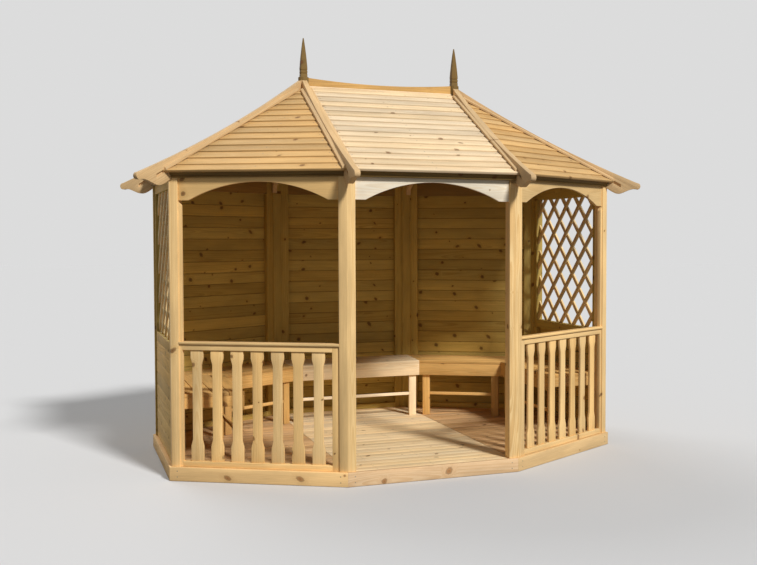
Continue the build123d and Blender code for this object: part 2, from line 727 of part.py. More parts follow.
def make_nodes() -> dict:
    """Every sub-part by name."""
    nodes = {"floor_deck": make_floor(), "floor_joists": make_joists(), "plinth": make_plinth()}
    nodes |= {f"post_{name}": post for name, post in POSTS.items()}
    nodes |= {f"wall_{name}": make_wall(BAYS[name]) for name in WALL_BAYS}
    nodes |= {f"lattice_side_{name}": make_lattice_side(BAYS[name]) for name in LATTICE_BAYS}
    nodes |= {f"arch_board_{name}": make_arch(BAYS[name]) for name in ARCH_BAYS}
    nodes |= {f"balustrade_{name}": make_balustrade(BAYS[name]) for name in BALUSTRADE_BAYS}
    nodes |= {f"bench_{name}": make_bench(name) for name in BENCH_BAYS}
    nodes |= {f"roof_{name}": make_roof(bay) for name, bay in BAYS.items()}
    nodes |= {f"hip_board_{corner.name}": make_hip(index) for index, corner in enumerate(CORNERS)}
    nodes["eaves_rails"] = make_eaves()
    nodes["ridge_board"] = make_ridge()
    finials = [make_finial(x) for x in (-HALF_RIDGE, HALF_RIDGE)]
    nodes["finials"] = Compound(children=[s for finial in finials for s in finial.solids()])
    return nodes


os.makedirs("parts", exist_ok=True)
for node_name, node in make_nodes().items():
    export_step(node, f"parts/{node_name}.step")
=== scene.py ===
"""Garden gazebo of treated softwood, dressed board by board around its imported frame.

Metres, +Z up, +X along the ridge, the open entry facing -Y. Every board and stick is
a closed mesh of its own with rounded edges, and carries three attributes that its
finish reads: board_place, a point's place in its own board along the grain, across it
and through it; board_span, the board's length, width and thickness; and board_seed.
"""

import logging
import math
import random
from dataclasses import dataclass
from enum import Enum
from functools import reduce
from typing import Callable, ClassVar, Sequence

import bmesh
import bpy
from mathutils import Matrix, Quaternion, Vector


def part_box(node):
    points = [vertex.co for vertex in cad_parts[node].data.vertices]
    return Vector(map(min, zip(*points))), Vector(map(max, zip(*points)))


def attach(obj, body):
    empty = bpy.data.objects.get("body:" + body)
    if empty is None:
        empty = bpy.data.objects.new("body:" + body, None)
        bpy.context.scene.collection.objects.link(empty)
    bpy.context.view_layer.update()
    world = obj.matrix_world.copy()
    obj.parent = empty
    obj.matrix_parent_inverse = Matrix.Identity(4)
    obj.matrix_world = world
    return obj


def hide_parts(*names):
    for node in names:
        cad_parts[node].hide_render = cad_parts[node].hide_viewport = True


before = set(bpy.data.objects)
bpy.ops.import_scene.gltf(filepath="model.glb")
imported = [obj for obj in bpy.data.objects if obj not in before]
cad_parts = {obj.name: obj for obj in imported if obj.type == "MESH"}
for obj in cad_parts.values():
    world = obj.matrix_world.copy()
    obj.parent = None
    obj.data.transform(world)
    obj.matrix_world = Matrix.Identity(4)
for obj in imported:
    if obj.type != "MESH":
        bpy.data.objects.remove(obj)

LOG = logging.getLogger("gazebo")
BODY = "root"
UP = Vector((0, 0, 1))
SHARP_ANGLE = math.radians(24)      # edges that are rounded over
SMOOTH_ANGLE = math.radians(50)     # soft faces that meet flatter than this shade as one
FLAT_ANGLE = math.radians(0.5)      # faces that meet flatter than this are one face
WELD = 1e-5                         # points closer than this are one point
UNSHADED_FROM = 0.2                # a face that turns this far outwards takes the outer finish, without the inner painted shade
CLEARLY_LONGER = 1.01               # ratio from which one length counts as longer
WOOD, NAILS, OTHER_WOOD, OUTSIDE_UNSHADED = range(4)   # numbers of a piece's finishes
SEED = 62
SECTOR = math.radians(60)           # turn from one side of the hexagon to the next


class Arris:
    """Radii of the rounded edges."""

    CRISP = 0.0006
    FINE = 0.001
    DECK = 0.0018
    PLANED = 0.002
    STICK = 0.0025
    SOFT = 0.003
    RAIL = 0.004
    HANDRAIL = 0.007


Colour = tuple[float, float, float]
Outline = list[Vector]
Section = list[tuple[float, float]]
Span = tuple[float, float]
Piece = bpy.types.Object
Material = bpy.types.Material
Socket = bpy.types.NodeSocket
Tree = bpy.types.NodeTree


def srgb(red: int, green: int, blue: int) -> Colour:
    """Turn a screen colour from 0 to 255 into the linear values that shaders use.

    Args:
        red, green, blue: the screen colour's parts.

    Returns:
        The colour in linear light.
    """
    parts = [value / 255 for value in (red, green, blue)]
    return tuple(p / 12.92 if p <= 0.04045 else ((p + 0.055) / 1.055) ** 2.4 for p in parts)


def dimmed(colour: Colour, share: float) -> Colour:
    """A colour made darker, or brighter as far as white goes."""
    return tuple(min(1.0, part * share) for part in colour)


# Plan

@dataclass(frozen=True)
class Corner:
    """A post corner of the plan, seen from the peak that its hip runs up to."""

    name: str
    peak_x: float
    bearing: float

    @property
    def outwards(self) -> Vector:
        """Level direction from the peak to the corner."""
        return Vector((math.cos(math.radians(self.bearing)), math.sin(math.radians(self.bearing)), 0))

    def along(self, distance: float) -> Vector:
        """Point on the hip line in plan, a distance from the peak."""
        return Vector((self.peak_x, 0, 0)) + self.outwards * distance

    @property
    def half_turn(self) -> float:
        """Half the angle between the two bays that meet here, in radians."""
        return SECTOR / 4 if self.bearing in (90, 270) else SECTOR / 2


class BayKind(Enum):
    """What fills a bay between two posts."""

    ENTRY = "open to walk through"
    RAILED = "open above a balustrade"
    LATTICE = "lattice above boards"
    WALL = "boarded all the way up"


@dataclass(frozen=True)
class Roofing:
    """Levels of the roof boards' upper face."""

    eaves_z: float = 2.100
    ridge_z: float = 2.818
    overhang: float = 0.070
    board: float = 0.020
    hip_thickness: float = 0.038


@dataclass(frozen=True)
class Bay:
    """The stretch between two post corners."""

    name: str
    kind: BayKind
    start: Corner
    end: Corner
    side: float
    roofing: Roofing

    @property
    def span(self) -> Vector:
        """Level way from the first corner to the second."""
        return self.end.along(self.side) - self.start.along(self.side)

    @property
    def run(self) -> Vector:
        """Level direction from the first corner to the second."""
        return self.span.normalized()

    @property
    def inwards(self) -> Vector:
        """Level direction into the room."""
        return UP.cross(self.run)

    @property
    def length(self) -> float:
        """Distance between the two corners."""
        return self.span.length

    @property
    def straight(self) -> bool:
        """True where the bay's two hips run up to two peaks."""
        return self.start.peak_x != self.end.peak_x

    @property
    def reach(self) -> float:
        """Level distance from the post line in to the peak or ridge."""
        return self.side if self.straight else self.side * math.cos(SECTOR / 2)

    @property
    def overhang(self) -> float:
        """Roof boards past the post line, square to it."""
        return self.roofing.overhang * (1 if self.straight else math.cos(SECTOR / 2))

    @property
    def pitch(self) -> float:
        """Roof slope in radians."""
        rise = self.roofing.ridge_z - self.roofing.eaves_z
        return math.atan(rise / (self.reach + self.overhang))

    def at(self, along: float, depth: float, level: float) -> Vector:
        """Point of the bay.

        Args:
            along: distance from the first corner along the bay.
            depth: distance behind the post line.
            level: height above the ground.

        Returns:
            The point in the shared frame.
        """
        return self.start.along(self.side) + self.run * along + self.inwards * depth + UP * level

    def roof_top(self, depth: float) -> float:
        """Level of the roof boards' upper face at a depth."""
        return self.roofing.eaves_z + (self.overhang + depth) * math.tan(self.pitch)

    def roof_under(self, depth: float) -> float:
        """Level of the roof boards' lower face at a depth."""
        return self.roof_top(depth) - self.roofing.board / math.cos(self.pitch)

    def on_roof(self, up: float, out: float) -> Span:
        """Depth and level of a point up the slope from the eaves and out of the boards' face."""
        rise, run = math.sin(self.pitch), math.cos(self.pitch)
        return (-self.overhang + up * run - out * rise,
                self.roofing.eaves_z + up * rise + out * run)

    def between_hips(self, depth: float) -> Span:
        """Where the faces of the two hip boards stand at a depth, along the bay."""
        half = self.roofing.hip_thickness / 2
        found = []
        for corner, side in ((self.start, 1), (self.end, -1)):
            face = corner.along(self.side) - self.start.along(self.side)
            face += UP.cross(corner.outwards) * half * side
            inwards = -corner.outwards.dot(self.inwards)
            step = (depth - face.dot(self.inwards)) / inwards
            found.append(face.dot(self.run) - corner.outwards.dot(self.run) * step)
        return found[0], found[1]


@dataclass(frozen=True)
class Plan:
    """Stretched hexagon of equal bays about two peaks."""

    side: float
    ridge: float
    floor_z: float
    roofing: Roofing = Roofing()

    @classmethod
    def from_frame(cls) -> "Plan":
        """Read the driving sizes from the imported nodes."""
        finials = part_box("finials")
        king_post = finials[1].y - finials[0].y
        return cls(side=-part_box("post_front_left")[0].y,
                   ridge=finials[1].x - finials[0].x - king_post,
                   floor_z=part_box("floor_deck")[1].z)

    @property
    def corners(self) -> list[Corner]:
        """Post corners, anticlockwise from the left end of the front."""
        half = self.ridge / 2
        return [
            Corner("left_front", -half, 210), Corner("front_left", -half, 270),
            Corner("front_right", half, 270), Corner("right_front", half, 330),
            Corner("right_back", half, 30), Corner("back_right", half, 90),
            Corner("back_left", -half, 90), Corner("left_back", -half, 150),
        ]

    @property
    def bays(self) -> list[Bay]:
        """Bays, anticlockwise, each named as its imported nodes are."""
        kinds = [
            ("front_left", BayKind.RAILED), ("front", BayKind.ENTRY), ("front_right", BayKind.RAILED),
            ("right", BayKind.LATTICE), ("back_right", BayKind.WALL), ("back", BayKind.WALL),
            ("back_left", BayKind.WALL), ("left", BayKind.LATTICE),
        ]
        corners = self.corners
        return [
            Bay(name, kind, corners[i], corners[(i + 1) % len(corners)], self.side, self.roofing)
            for i, (name, kind) in enumerate(kinds)
        ]

    def of_kind(self, *kinds: BayKind) -> list[Bay]:
        """Bays of the kinds asked for."""
        return [bay for bay in self.bays if bay.kind in kinds]

    def outline(self, inset: float) -> Outline:
        """Plan outline moved inwards by an inset, one point for each corner."""
        bays = self.bays
        points = []
        for i, corner in enumerate(self.corners):
            both = bays[i - 1].inwards + bays[i].inwards
            shared = inset / (1 + bays[i - 1].inwards.dot(bays[i].inwards))
            points.append(corner.along(self.side) + both * shared)
        return points

    def width_at(self, inset: float, y: float) -> float:
        """Half the outline's width at a distance across the room."""
        points = self.outline(inset)
        widest = max(point.x for point in points)
        slanted = [p for p in points if p.x > 0 and p.y > 0]
        near, far = sorted(slanted, key=lambda p: p.y)
        share = (abs(y) - near.y) / (far.y - near.y)
        return min(widest, near.x + (far.x - near.x) * share)


# Meshes

def show(name: str, data: bpy.types.ID) -> Piece:
    """Put a new object into the scene."""
    made = bpy.data.objects.new(name, data)
    bpy.context.scene.collection.objects.link(made)
    return made


class Timber:
    """Boards and sticks gathered into one piece, each with its own grain."""

    def __init__(self, name: str, draw: random.Random) -> None:
        """Start an empty piece.

        Args:
            name: the piece's name.
            draw: source of each board's seed.
        """
        self.name = name
        self.draw = draw
        self.points: list[Vector] = []
        self.faces: list[list[int]] = []
        self.soft: list[bool] = []
        self.coats: list[int] = []
        self.coat = WOOD
        # faces that look along this side take the outer finish; the rest keep the piece's coat, which on
        # wall boards is darker as painted shade of the room
        self.unshaded_side: Vector | None = None
        self.unshaded_coat = OUTSIDE_UNSHADED
        self.places: list[float] = []
        self.spans: list[float] = []
        self.seeds: list[float] = []

    def bar(self, first: Outline, last: Outline, grain: Vector, rounding: float) -> None:
        """Add a bar between two outlines with the same number of points.

        Args:
            first: outline at one end or face.
            last: outline at the other.
            grain: direction of the grain.
            rounding: radius of the rounded edges.
        """
        mesh = bmesh.new()
        lower = [mesh.verts.new(point) for point in first]
        upper = [mesh.verts.new(point) for point in last]
        mesh.faces.new(lower)
        mesh.faces.new(upper[::-1])
        for i in range(len(lower)):
            mesh.faces.new((lower[i - 1], upper[i - 1], upper[i], lower[i]))
        self._keep(mesh, grain, rounding)

    def adopt(self, node: str, rounding: float) -> None:
        """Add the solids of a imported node, with their edges rounded.

        Args:
            node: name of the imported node.
            rounding: radius of the rounded edges.
        """
        whole = bmesh.new()
        whole.from_mesh(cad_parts[node].data)
        bmesh.ops.remove_doubles(whole, verts=whole.verts, dist=WELD)
        bmesh.ops.dissolve_limit(whole, angle_limit=FLAT_ANGLE, verts=whole.verts, edges=whole.edges)
        left = set(whole.faces)
        while left:
            island = self._island(left)
            left -= island
            solid = bmesh.new()
            copies = {}
            for face in sorted(island, key=lambda face: face.index):
                for vert in face.verts:
                    if vert not in copies:
                        copies[vert] = solid.verts.new(vert.co)
                solid.faces.new([copies[vert] for vert in face.verts])
            longest = max(solid.edges, key=lambda edge: edge.calc_length())
            self._keep(solid, longest.verts[1].co - longest.verts[0].co, rounding)
        whole.free()

    @staticmethod
    def _island(faces: set) -> set:
        """Faces joined by shared edges to one of the given faces."""
        found = {min(faces, key=lambda face: face.index)}
        edge_of_search = list(found)
        while edge_of_search:
            face = edge_of_search.pop()
            for edge in face.edges:
                for neighbour in edge.link_faces:
                    if neighbour not in found:
                        found.add(neighbour)
                        edge_of_search.append(neighbour)
        return found

    def _keep(self, mesh: bmesh.types.BMesh, grain: Vector, rounding: float) -> None:
        """Round a solid's edges and take it into the piece."""
        bmesh.ops.recalc_face_normals(mesh, faces=mesh.faces)
        along = grain.normalized()
        across = self._widest(mesh, along)
        through = along.cross(across)
        sharp = [edge for edge in mesh.edges if edge.calc_face_angle(0) > SHARP_ANGLE]
        for face in mesh.faces:
            face.smooth = any(edge.calc_face_angle(0) < SHARP_ANGLE for edge in face.edges)
        rounded = bmesh.ops.bevel(mesh, geom=sharp, offset=rounding, segments=2, profile=0.5,
                                  affect="EDGES", clamp_overlap=True)
        for face in rounded["faces"]:
            face.smooth = True
        places = [(v.co.dot(along), v.co.dot(across), v.co.dot(through)) for v in mesh.verts]
        lows = [min(place[axis] for place in places) for axis in range(3)]
        highs = [max(place[axis] for place in places) for axis in range(3)]
        span = [high - low for low, high in zip(lows, highs)]
        seed = self.draw.random()
        first = len(self.points)
        mesh.verts.index_update()
        for vert, place in zip(mesh.verts, places):
            self.points.append(vert.co.copy())
            self.places += [p - (low + high) / 2 for p, low, high in zip(place, lows, highs)]
            self.spans += span
            self.seeds.append(seed)
        self.faces += [[first + vert.index for vert in face.verts] for face in mesh.faces]
        self.soft += [face.smooth for face in mesh.faces]
        mesh.normal_update()
        for face in mesh.faces:
            side = self.unshaded_side
            outside = side is not None and face.normal.dot(side) > UNSHADED_FROM
            self.coats.append(self.unshaded_coat if outside else self.coat)
        mesh.free()

    @staticmethod
    def _widest(mesh: bmesh.types.BMesh, along: Vector) -> Vector:
        """Direction across the grain of the edge that reaches furthest across it."""
        best = UP.orthogonal()
        reach = 0.0
        for edge in mesh.edges:
            step = edge.verts[1].co - edge.verts[0].co
            step = step - along * step.dot(along)
            if step.length > reach * CLEARLY_LONGER:
                reach = step.length
                best = step / reach
        return best

    def nail(self, place: Vector, outwards: Vector) -> None:
        """Add a flat round nail head, in the piece's second finish.

        Args:
            place: its middle, on the wood.
            outwards: direction out of the wood.
        """
        radius, proud, sides = 0.0035, 0.0004, 8
        count = 2 * sides
        sideways = outwards.orthogonal().normalized()
        first = len(self.points)
        for height in (0.0, proud):
            for step in range(sides):
                turn = Quaternion(outwards, math.tau * step / sides)
                self.points.append(place + turn @ sideways * radius + outwards * height)
        faces = [[first + sides + step for step in range(sides)]]
        for step in range(sides):
            after = (step + 1) % sides
            faces.append([first + step, first + after, first + sides + after, first + sides + step])
        self.faces += faces
        self.places += [0.0, 0.0, 0.0] * count
        self.spans += [1.0, 1.0, 1.0] * count
        self.seeds += [0.0] * count
        self.soft += [False] * len(faces)
        self.coats += [NAILS] * len(faces)

    def build(self, finishes: Sequence[Material], nodes: Sequence[str], slot: str) -> None:
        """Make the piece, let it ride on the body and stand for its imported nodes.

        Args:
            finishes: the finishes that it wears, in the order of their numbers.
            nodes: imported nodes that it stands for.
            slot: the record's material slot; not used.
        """
        mesh = bpy.data.meshes.new(self.name)
        mesh.from_pydata(self.points, [], self.faces)
        for name, kind, values in (("board_place", "FLOAT_VECTOR", self.places),
                                   ("board_span", "FLOAT_VECTOR", self.spans),
                                   ("board_seed", "FLOAT", self.seeds)):
            made = mesh.attributes.new(name, kind, "POINT")
            made.data.foreach_set("value" if kind == "FLOAT" else "vector", values)
        mesh.polygons.foreach_set("use_smooth", self.soft)
        mesh.set_sharp_from_angle(angle=SMOOTH_ANGLE)
        mesh.polygons.foreach_set("material_index", self.coats)
        for finish in finishes:
            mesh.materials.append(finish)
        piece = show(self.name, mesh)
        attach(piece, BODY)
        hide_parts(*nodes)
        LOG.info("%s: %d boards, %d faces", self.name, len(set(self.seeds)), len(self.faces))


class BayTimber(Timber):
    """Timber set out in one bay, by distance along it, depth behind its posts and level."""

    def __init__(self, name: str, draw: random.Random, bay: Bay) -> None:
        """Start an empty piece in a bay."""
        super().__init__(name, draw)
        self.bay = bay

    def sweep(self, section: Section, reach: Span, rounding: float = Arris.PLANED) -> None:
        """Add a bar along the bay, with one section of depths and levels."""
        ends = [[self.bay.at(along, deep, level) for deep, level in section] for along in reach]
        self.bar(*ends, self.bay.run, rounding)

    def stand(self, reach: Span, deep: Span, foot: float, head: float | None = None,
              rounding: float = Arris.PLANED) -> None:
        """Add an upright stick.

        Args:
            reach: where it starts and ends along the bay.
            deep: depths of its outer and inner face.
            foot: level of its lower end.
            head: level of its upper end, or None up to the roof.
            rounding: radius of the rounded edges.
        """
        corners = rectangle(*reach, *deep)
        self.bar([self.bay.at(a, d, foot) for a, d in corners],
                 [self.bay.at(a, d, self.bay.roof_under(d) if head is None else head)
                  for a, d in corners], UP, rounding)

    def rail(self, reach: Span, near: float, width: float, low: float, height: float,
             radius: float = Arris.RAIL) -> None:
        """Add a rail with rounded edges along the bay.

        Args:
            reach: where it starts and ends along the bay.
            near, width: depth of its outer face, and how wide it is from there.
            low, height: level of its lower face, and how high it is from there.
            radius: of its long edges.
        """
        self.sweep(rounded_box(near, near + width, low, low + height, radius), reach, Arris.FINE)

    def face(self, outline: Section, deep: Span, grain: Vector, rounding: float = Arris.PLANED) -> None:
        """Add a board with one outline along the bay and up, between two depths."""
        faces = [[self.bay.at(along, depth, level) for along, level in outline] for depth in deep]
        self.bar(*faces, grain, rounding)


def rectangle(near: float, far: float, low: float, high: float) -> Section:
    """Section with square corners."""
    return [(near, low), (far, low), (far, high), (near, high)]


def rounded_box(near: float, far: float, low: float, high: float, radius: float) -> Section:
    """Section with rounded corners.

    Args:
        near, far: its faces.
        low, high: its lower and upper edge.
        radius: of the corners.

    Returns:
        Points of the section, in order.
    """
    points = []
    steps = 5
    for x, y, turn in ((far - radius, high - radius, 0), (near + radius, high - radius, 90),
                       (near + radius, low + radius, 180), (far - radius, low + radius, 270)):
        for step in range(steps + 1):
            angle = math.radians(turn + 90 * step / steps)
            points.append((x + radius * math.cos(angle), y + radius * math.sin(angle)))
    return points


def clip(outline: Outline, wide: Span, high: Span) -> Outline:
    """Cut a flat outline to an upright rectangle.

    Args:
        outline: points of a convex outline.
        wide: the rectangle's lowest and highest x.
        high: its lowest and highest y.

    Returns:
        The points that are left, in order.
    """
    for axis, bound, side in ((0, wide[0], 1), (0, wide[1], -1), (1, high[0], 1), (1, high[1], -1)):
        kept = []
        for i, point in enumerate(outline):
            before = outline[i - 1]
            inside, was_inside = ((p[axis] - bound) * side >= 0 for p in (point, before))
            if inside != was_inside:
                kept.append(before.lerp(point, (bound - before[axis]) / (point[axis] - before[axis])))
            if inside:
                kept.append(point)
        outline = kept
    return outline


# Shader effects

class Sketch:
    """Adds nodes to a tree. Every input is a socket or a plain value."""

    def __init__(self, tree: Tree) -> None:
        """Work on a node tree."""
        self.tree = tree

    def node(self, kind: str, inputs: dict, **settings: object) -> bpy.types.Node:
        """Add a node.

        Args:
            kind: the node's type name, without ShaderNode.
            inputs: socket names or numbers, with what feeds them.
            settings: the node's own options.

        Returns:
            The node.
        """
        made = self.tree.nodes.new("ShaderNode" + kind)
        for name, value in settings.items():
            setattr(made, name, value)
        self.feed(made, inputs)
        return made

    def feed(self, made: bpy.types.Node, inputs: dict) -> None:
        """Link or set a node's inputs, given by name or number."""
        for name, value in inputs.items():
            if isinstance(value, Socket):
                self.tree.links.new(value, made.inputs[name])
            else:
                made.inputs[name].default_value = value

    def group(self, tree: Tree, **inputs: object) -> dict[str, Socket]:
        """Place a shared group and return its outputs by name."""
        made = self.tree.nodes.new("ShaderNodeGroup")
        made.node_tree = tree
        self.feed(made, inputs)
        return {socket.name: socket for socket in made.outputs}

    def attribute(self, name: str, output: str = "Vector") -> Socket:
        """Read one of the boards' attributes."""
        return self.node("Attribute", {}, attribute_name=name).outputs[output]

    def math(self, operation: str, *values: object) -> Socket:
        """Plain arithmetic on numbers."""
        return self.node("Math", dict(enumerate(values)), operation=operation).outputs[0]

    def times(self, *values: object) -> Socket:
        """Product of numbers."""
        return reduce(lambda one, other: self.math("MULTIPLY", one, other), values)

    def line(self, value: object, slope: object, start: object) -> Socket:
        """A straight line: the slope times the value, plus the start."""
        return self.math("MULTIPLY_ADD", value, slope, start)

    def stretch(self, parts: Sequence[Socket], shift: Socket, *scales: float) -> Socket:
        """A place moved along the grain and stretched by a scale on each axis."""
        u, v, w = parts
        return self.join(self.line(u, scales[0], shift), self.times(v, scales[1]),
                         self.times(w, scales[2]))

    def vector(self, operation: str, *values: object) -> Socket:
        """Arithmetic on vectors."""
        made = self.node("VectorMath", dict(enumerate(values)), operation=operation)
        return made.outputs["Value" if operation == "LENGTH" else "Vector"]

    def split(self, value: Socket) -> list[Socket]:
        """The three parts of a vector."""
        return list(self.node("SeparateXYZ", {0: value}).outputs)

    def join(self, x: object, y: object, z: object) -> Socket:
        """A vector from three parts."""
        return self.node("CombineXYZ", {0: x, 1: y, 2: z}).outputs[0]

    def ease(self, value: object, low: object, high: object, first: float = 0.0,
             last: float = 1.0) -> Socket:
        """Go softly from one value to another as the input crosses a range."""
        inputs = {"Value": value, "From Min": low, "From Max": high, "To Min": first, "To Max": last}
        return self.node("MapRange", inputs, interpolation_type="SMOOTHSTEP").outputs["Result"]

    def between(self, value: object, first: float, last: float) -> Socket:
        """Go softly from one value to another as the input goes from 0 to 1."""
        return self.ease(value, 0.0, 1.0, first, last)

    def noise(self, place: object, scale: float, detail: float = 2.0, output: str = "Fac") -> Socket:
        """Three-dimensional noise."""
        made = self.node("TexNoise", {"Vector": place, "Scale": scale, "Detail": detail})
        return made.outputs[output]

    def chance(self, seed: Socket) -> list[Socket]:
        """Three numbers drawn by a seed."""
        made = self.node("TexWhiteNoise", {"W": seed}, noise_dimensions="1D")
        return self.split(made.outputs["Color"])

    def blend(self, share: object, first: object, second: object, mode: str = "MIX") -> Socket:
        """Mix two colours."""
        made = self.node("Mix", {0: share}, data_type="RGBA", blend_type=mode)
        first, second = ((*c, 1) if isinstance(c, tuple) else c for c in (first, second))
        self.feed(made, {6: first, 7: second})
        return made.outputs[2]


def start_material(name: str) -> tuple[Material, Sketch, bpy.types.Node]:
    """Start a material.

    Args:
        name: the material's name.

    Returns:
        The material, a sketch of its nodes and its shader.
    """
    material = bpy.data.materials.new(name)
    material.use_nodes = True
    tree = material.node_tree
    return material, Sketch(tree), tree.nodes["Principled BSDF"]


def effect(name: str, draw: Callable[[Sketch, dict], dict], **inputs: object) -> Tree:
    """Build a shader node group once.

    Args:
        name: the group's name.
        draw: makes the nodes; takes the sketch and the inputs, returns the outputs.
        inputs: inputs beside the place in the board, with their defaults; a tuple makes
            a vector socket.

    Returns:
        The group.
    """
    tree = bpy.data.node_groups.new(name, "ShaderNodeTree")
    for key, value in {"Place": (0.0, 0.0, 0.0), **inputs}.items():
        kind = "NodeSocketVector" if isinstance(value, tuple) else "NodeSocketFloat"
        tree.interface.new_socket(key, in_out="INPUT", socket_type=kind).default_value = value
    source = tree.nodes.new("NodeGroupInput")
    sink = tree.nodes.new("NodeGroupOutput")
    made = draw(Sketch(tree), {socket.name: socket for socket in source.outputs if socket.name})
    for key, socket in made.items():
        tree.interface.new_socket(key, in_out="OUTPUT", socket_type="NodeSocketFloat")
        tree.links.new(socket, sink.inputs[key])
    return tree


def draw_knots(sketch: Sketch, given: dict) -> dict:
    """Round and slanted knots, and how far they push the growth rings aside.

    Args:
        sketch: the group's nodes.
        given: Place, Seed, Size and Share.

    Returns:
        Knot, Rim, Heart, Halo and Bulge.
    """
    cell_long, cell_wide, apart = 0.26, 0.11, 57.0
    widest_lean, wobble_scale, turns_across, bulge_of_radius = 1.2, 14.0, 4.0, 1.5
    u, v, w = sketch.split(given["Place"])
    shift = sketch.times(given["Seed"], apart)
    cell_u = sketch.line(u, 1 / cell_long, shift)
    cell_v = sketch.line(v, 1 / cell_wide, shift)
    cells = sketch.node("TexVoronoi", {"Vector": sketch.join(cell_u, cell_v, 0.0), "Scale": 1.0,
                                       "Randomness": 0.9}, voronoi_dimensions="2D")
    seen_u, seen_v, _ = sketch.split(cells.outputs["Position"])
    lucky, size, slant = sketch.split(cells.outputs["Color"])
    off_u = sketch.times(sketch.math("SUBTRACT", cell_u, seen_u), cell_long)
    off_v = sketch.times(sketch.math("SUBTRACT", cell_v, seen_v), cell_wide)
    lean = sketch.times(sketch.math("SUBTRACT", slant, 0.5), widest_lean)
    off_u = sketch.line(off_v, lean, off_u)
    off_v = sketch.times(off_v, sketch.between(slant, 0.85, 1.35))
    wobble = sketch.noise(sketch.join(cell_u, cell_v, w), wobble_scale)
    distance = sketch.vector("LENGTH", sketch.join(off_u, off_v, 0.0))
    distance = sketch.times(distance, sketch.between(wobble, 0.75, 1.25))
    radius = sketch.times(given["Size"], sketch.between(size, 0.35, 1.3))
    present = sketch.math("LESS_THAN", lucky, given["Share"])
    near = sketch.math("DIVIDE", distance, radius)
    knot = sketch.times(sketch.ease(near, 1.0, 0.7), present)
    rim = sketch.math("ABSOLUTE", sketch.math("SUBTRACT", near, 1.0))
    rim = sketch.times(sketch.ease(rim, 0.35, 0.0), present)
    turn = sketch.math("FRACT", sketch.times(near, turns_across))
    heart = sketch.math("MAXIMUM", sketch.ease(near, 0.34, 0.06),
                        sketch.times(sketch.ease(turn, 0.45, 0.95), 0.5))
    heart = sketch.times(heart, knot)
    halo = sketch.times(sketch.ease(near, 3.2, 0.8), present)
    bulge = sketch.times(halo, radius, bulge_of_radius)
    return {"Knot": knot, "Rim": rim, "Heart": heart, "Halo": halo, "Bulge": bulge}


def draw_rings(sketch: Sketch, given: dict) -> dict:
    """Growth rings about a pith that lies somewhere behind the board.

    Args:
        sketch: the group's nodes.
        given: Place, Seed, Bulge and Spacing.

    Returns:
        Late, the dark latewood lines.
    """
    sway, aside, behind, apart = 0.05, 0.05, 0.07, 91.0
    pith_v, pith_w, _ = sketch.chance(given["Seed"])
    u, v, w = sketch.split(given["Place"])
    shift = sketch.times(given["Seed"], apart)
    slow = sketch.stretch((u, v, w), shift, 0.9, 3.0, 1.0)
    sway_v, sway_w, _ = sketch.split(sketch.noise(slow, 1.0, 1.0, "Color"))
    v = sketch.math("ADD", v, sketch.between(pith_v, -aside, aside))
    v = sketch.line(sway_v, sway, v)
    w = sketch.math("ADD", w, sketch.between(pith_w, 0.0, behind))
    w = sketch.line(sway_w, sway, w)
    radius = sketch.vector("LENGTH", sketch.join(v, w, 0.0))
    radius = sketch.math("ADD", radius, given["Bulge"])
    turns = sketch.math("DIVIDE", radius, given["Spacing"])
    uneven = sketch.node("TexNoise", {"W": turns, "Scale": 0.45, "Detail": 1.0},
                         noise_dimensions="1D").outputs["Fac"]
    turns = sketch.line(uneven, 2.0, turns)
    part = sketch.math("FRACT", turns)
    late = sketch.times(sketch.ease(part, 0.25, 0.85), sketch.ease(part, 1.0, 0.93))
    return {"Late": late}


def draw_fibre(sketch: Sketch, given: dict) -> dict:
    """Fine streaks along the grain and the short cracks of dried wood.

    Args:
        sketch: the group's nodes.
        given: Place and Seed.

    Returns:
        Streak, Check and Cloud.
    """
    apart = 23.0
    fine, narrow, broad = (9.0, 520.0, 520.0), (3.5, 150.0, 60.0), (2.6, 14.0, 14.0)
    parts = sketch.split(given["Place"])
    shift = sketch.times(given["Seed"], apart)
    streak, crack, cloud = (
        sketch.noise(sketch.stretch(parts, shift, *scales), 1.0, detail)
        for scales, detail in ((fine, 3.0), (narrow, 2.0), (broad, 3.0)))
    return {"Streak": streak, "Check": sketch.ease(crack, 0.70, 0.78), "Cloud": cloud}


def draw_edges(sketch: Sketch, given: dict) -> dict:
    """Worn arrises, and a strip of painted shade where a thin board meets its neighbour.

    Args:
        sketch: the group's nodes.
        given: Place and Span.

    Returns:
        Wear, and the joints' painted shade.
    """
    narrowest, thickest, patch_scale = 0.06, 0.032, 38.0
    half = sketch.vector("MULTIPLY", given["Span"], (0.5, 0.5, 0.5))
    room = sketch.vector("SUBTRACT", half, sketch.vector("ABSOLUTE", given["Place"]))
    u, v, w = sketch.split(room)
    nearest = sketch.math("MINIMUM", u, v)
    furthest = sketch.math("MAXIMUM", u, v)
    middle = sketch.math("MAXIMUM", nearest, sketch.math("MINIMUM", furthest, w))
    patch = sketch.noise(given["Place"], patch_scale, 3.0)
    worn = sketch.ease(middle, sketch.ease(patch, 0.3, 0.7, 0.0008, 0.0045), 0.0)
    # painted shade: a darker strip along the edges where a thin board meets its neighbour
    joint_shade = sketch.ease(nearest, sketch.ease(patch, 0.2, 0.8, 0.002, 0.007), 0.0)
    _, wide, thick = sketch.split(given["Span"])
    is_board = sketch.times(sketch.math("GREATER_THAN", wide, narrowest),
                            sketch.math("LESS_THAN", thick, thickest))
    return {"Wear": worn, "Seam": sketch.times(joint_shade, is_board)}


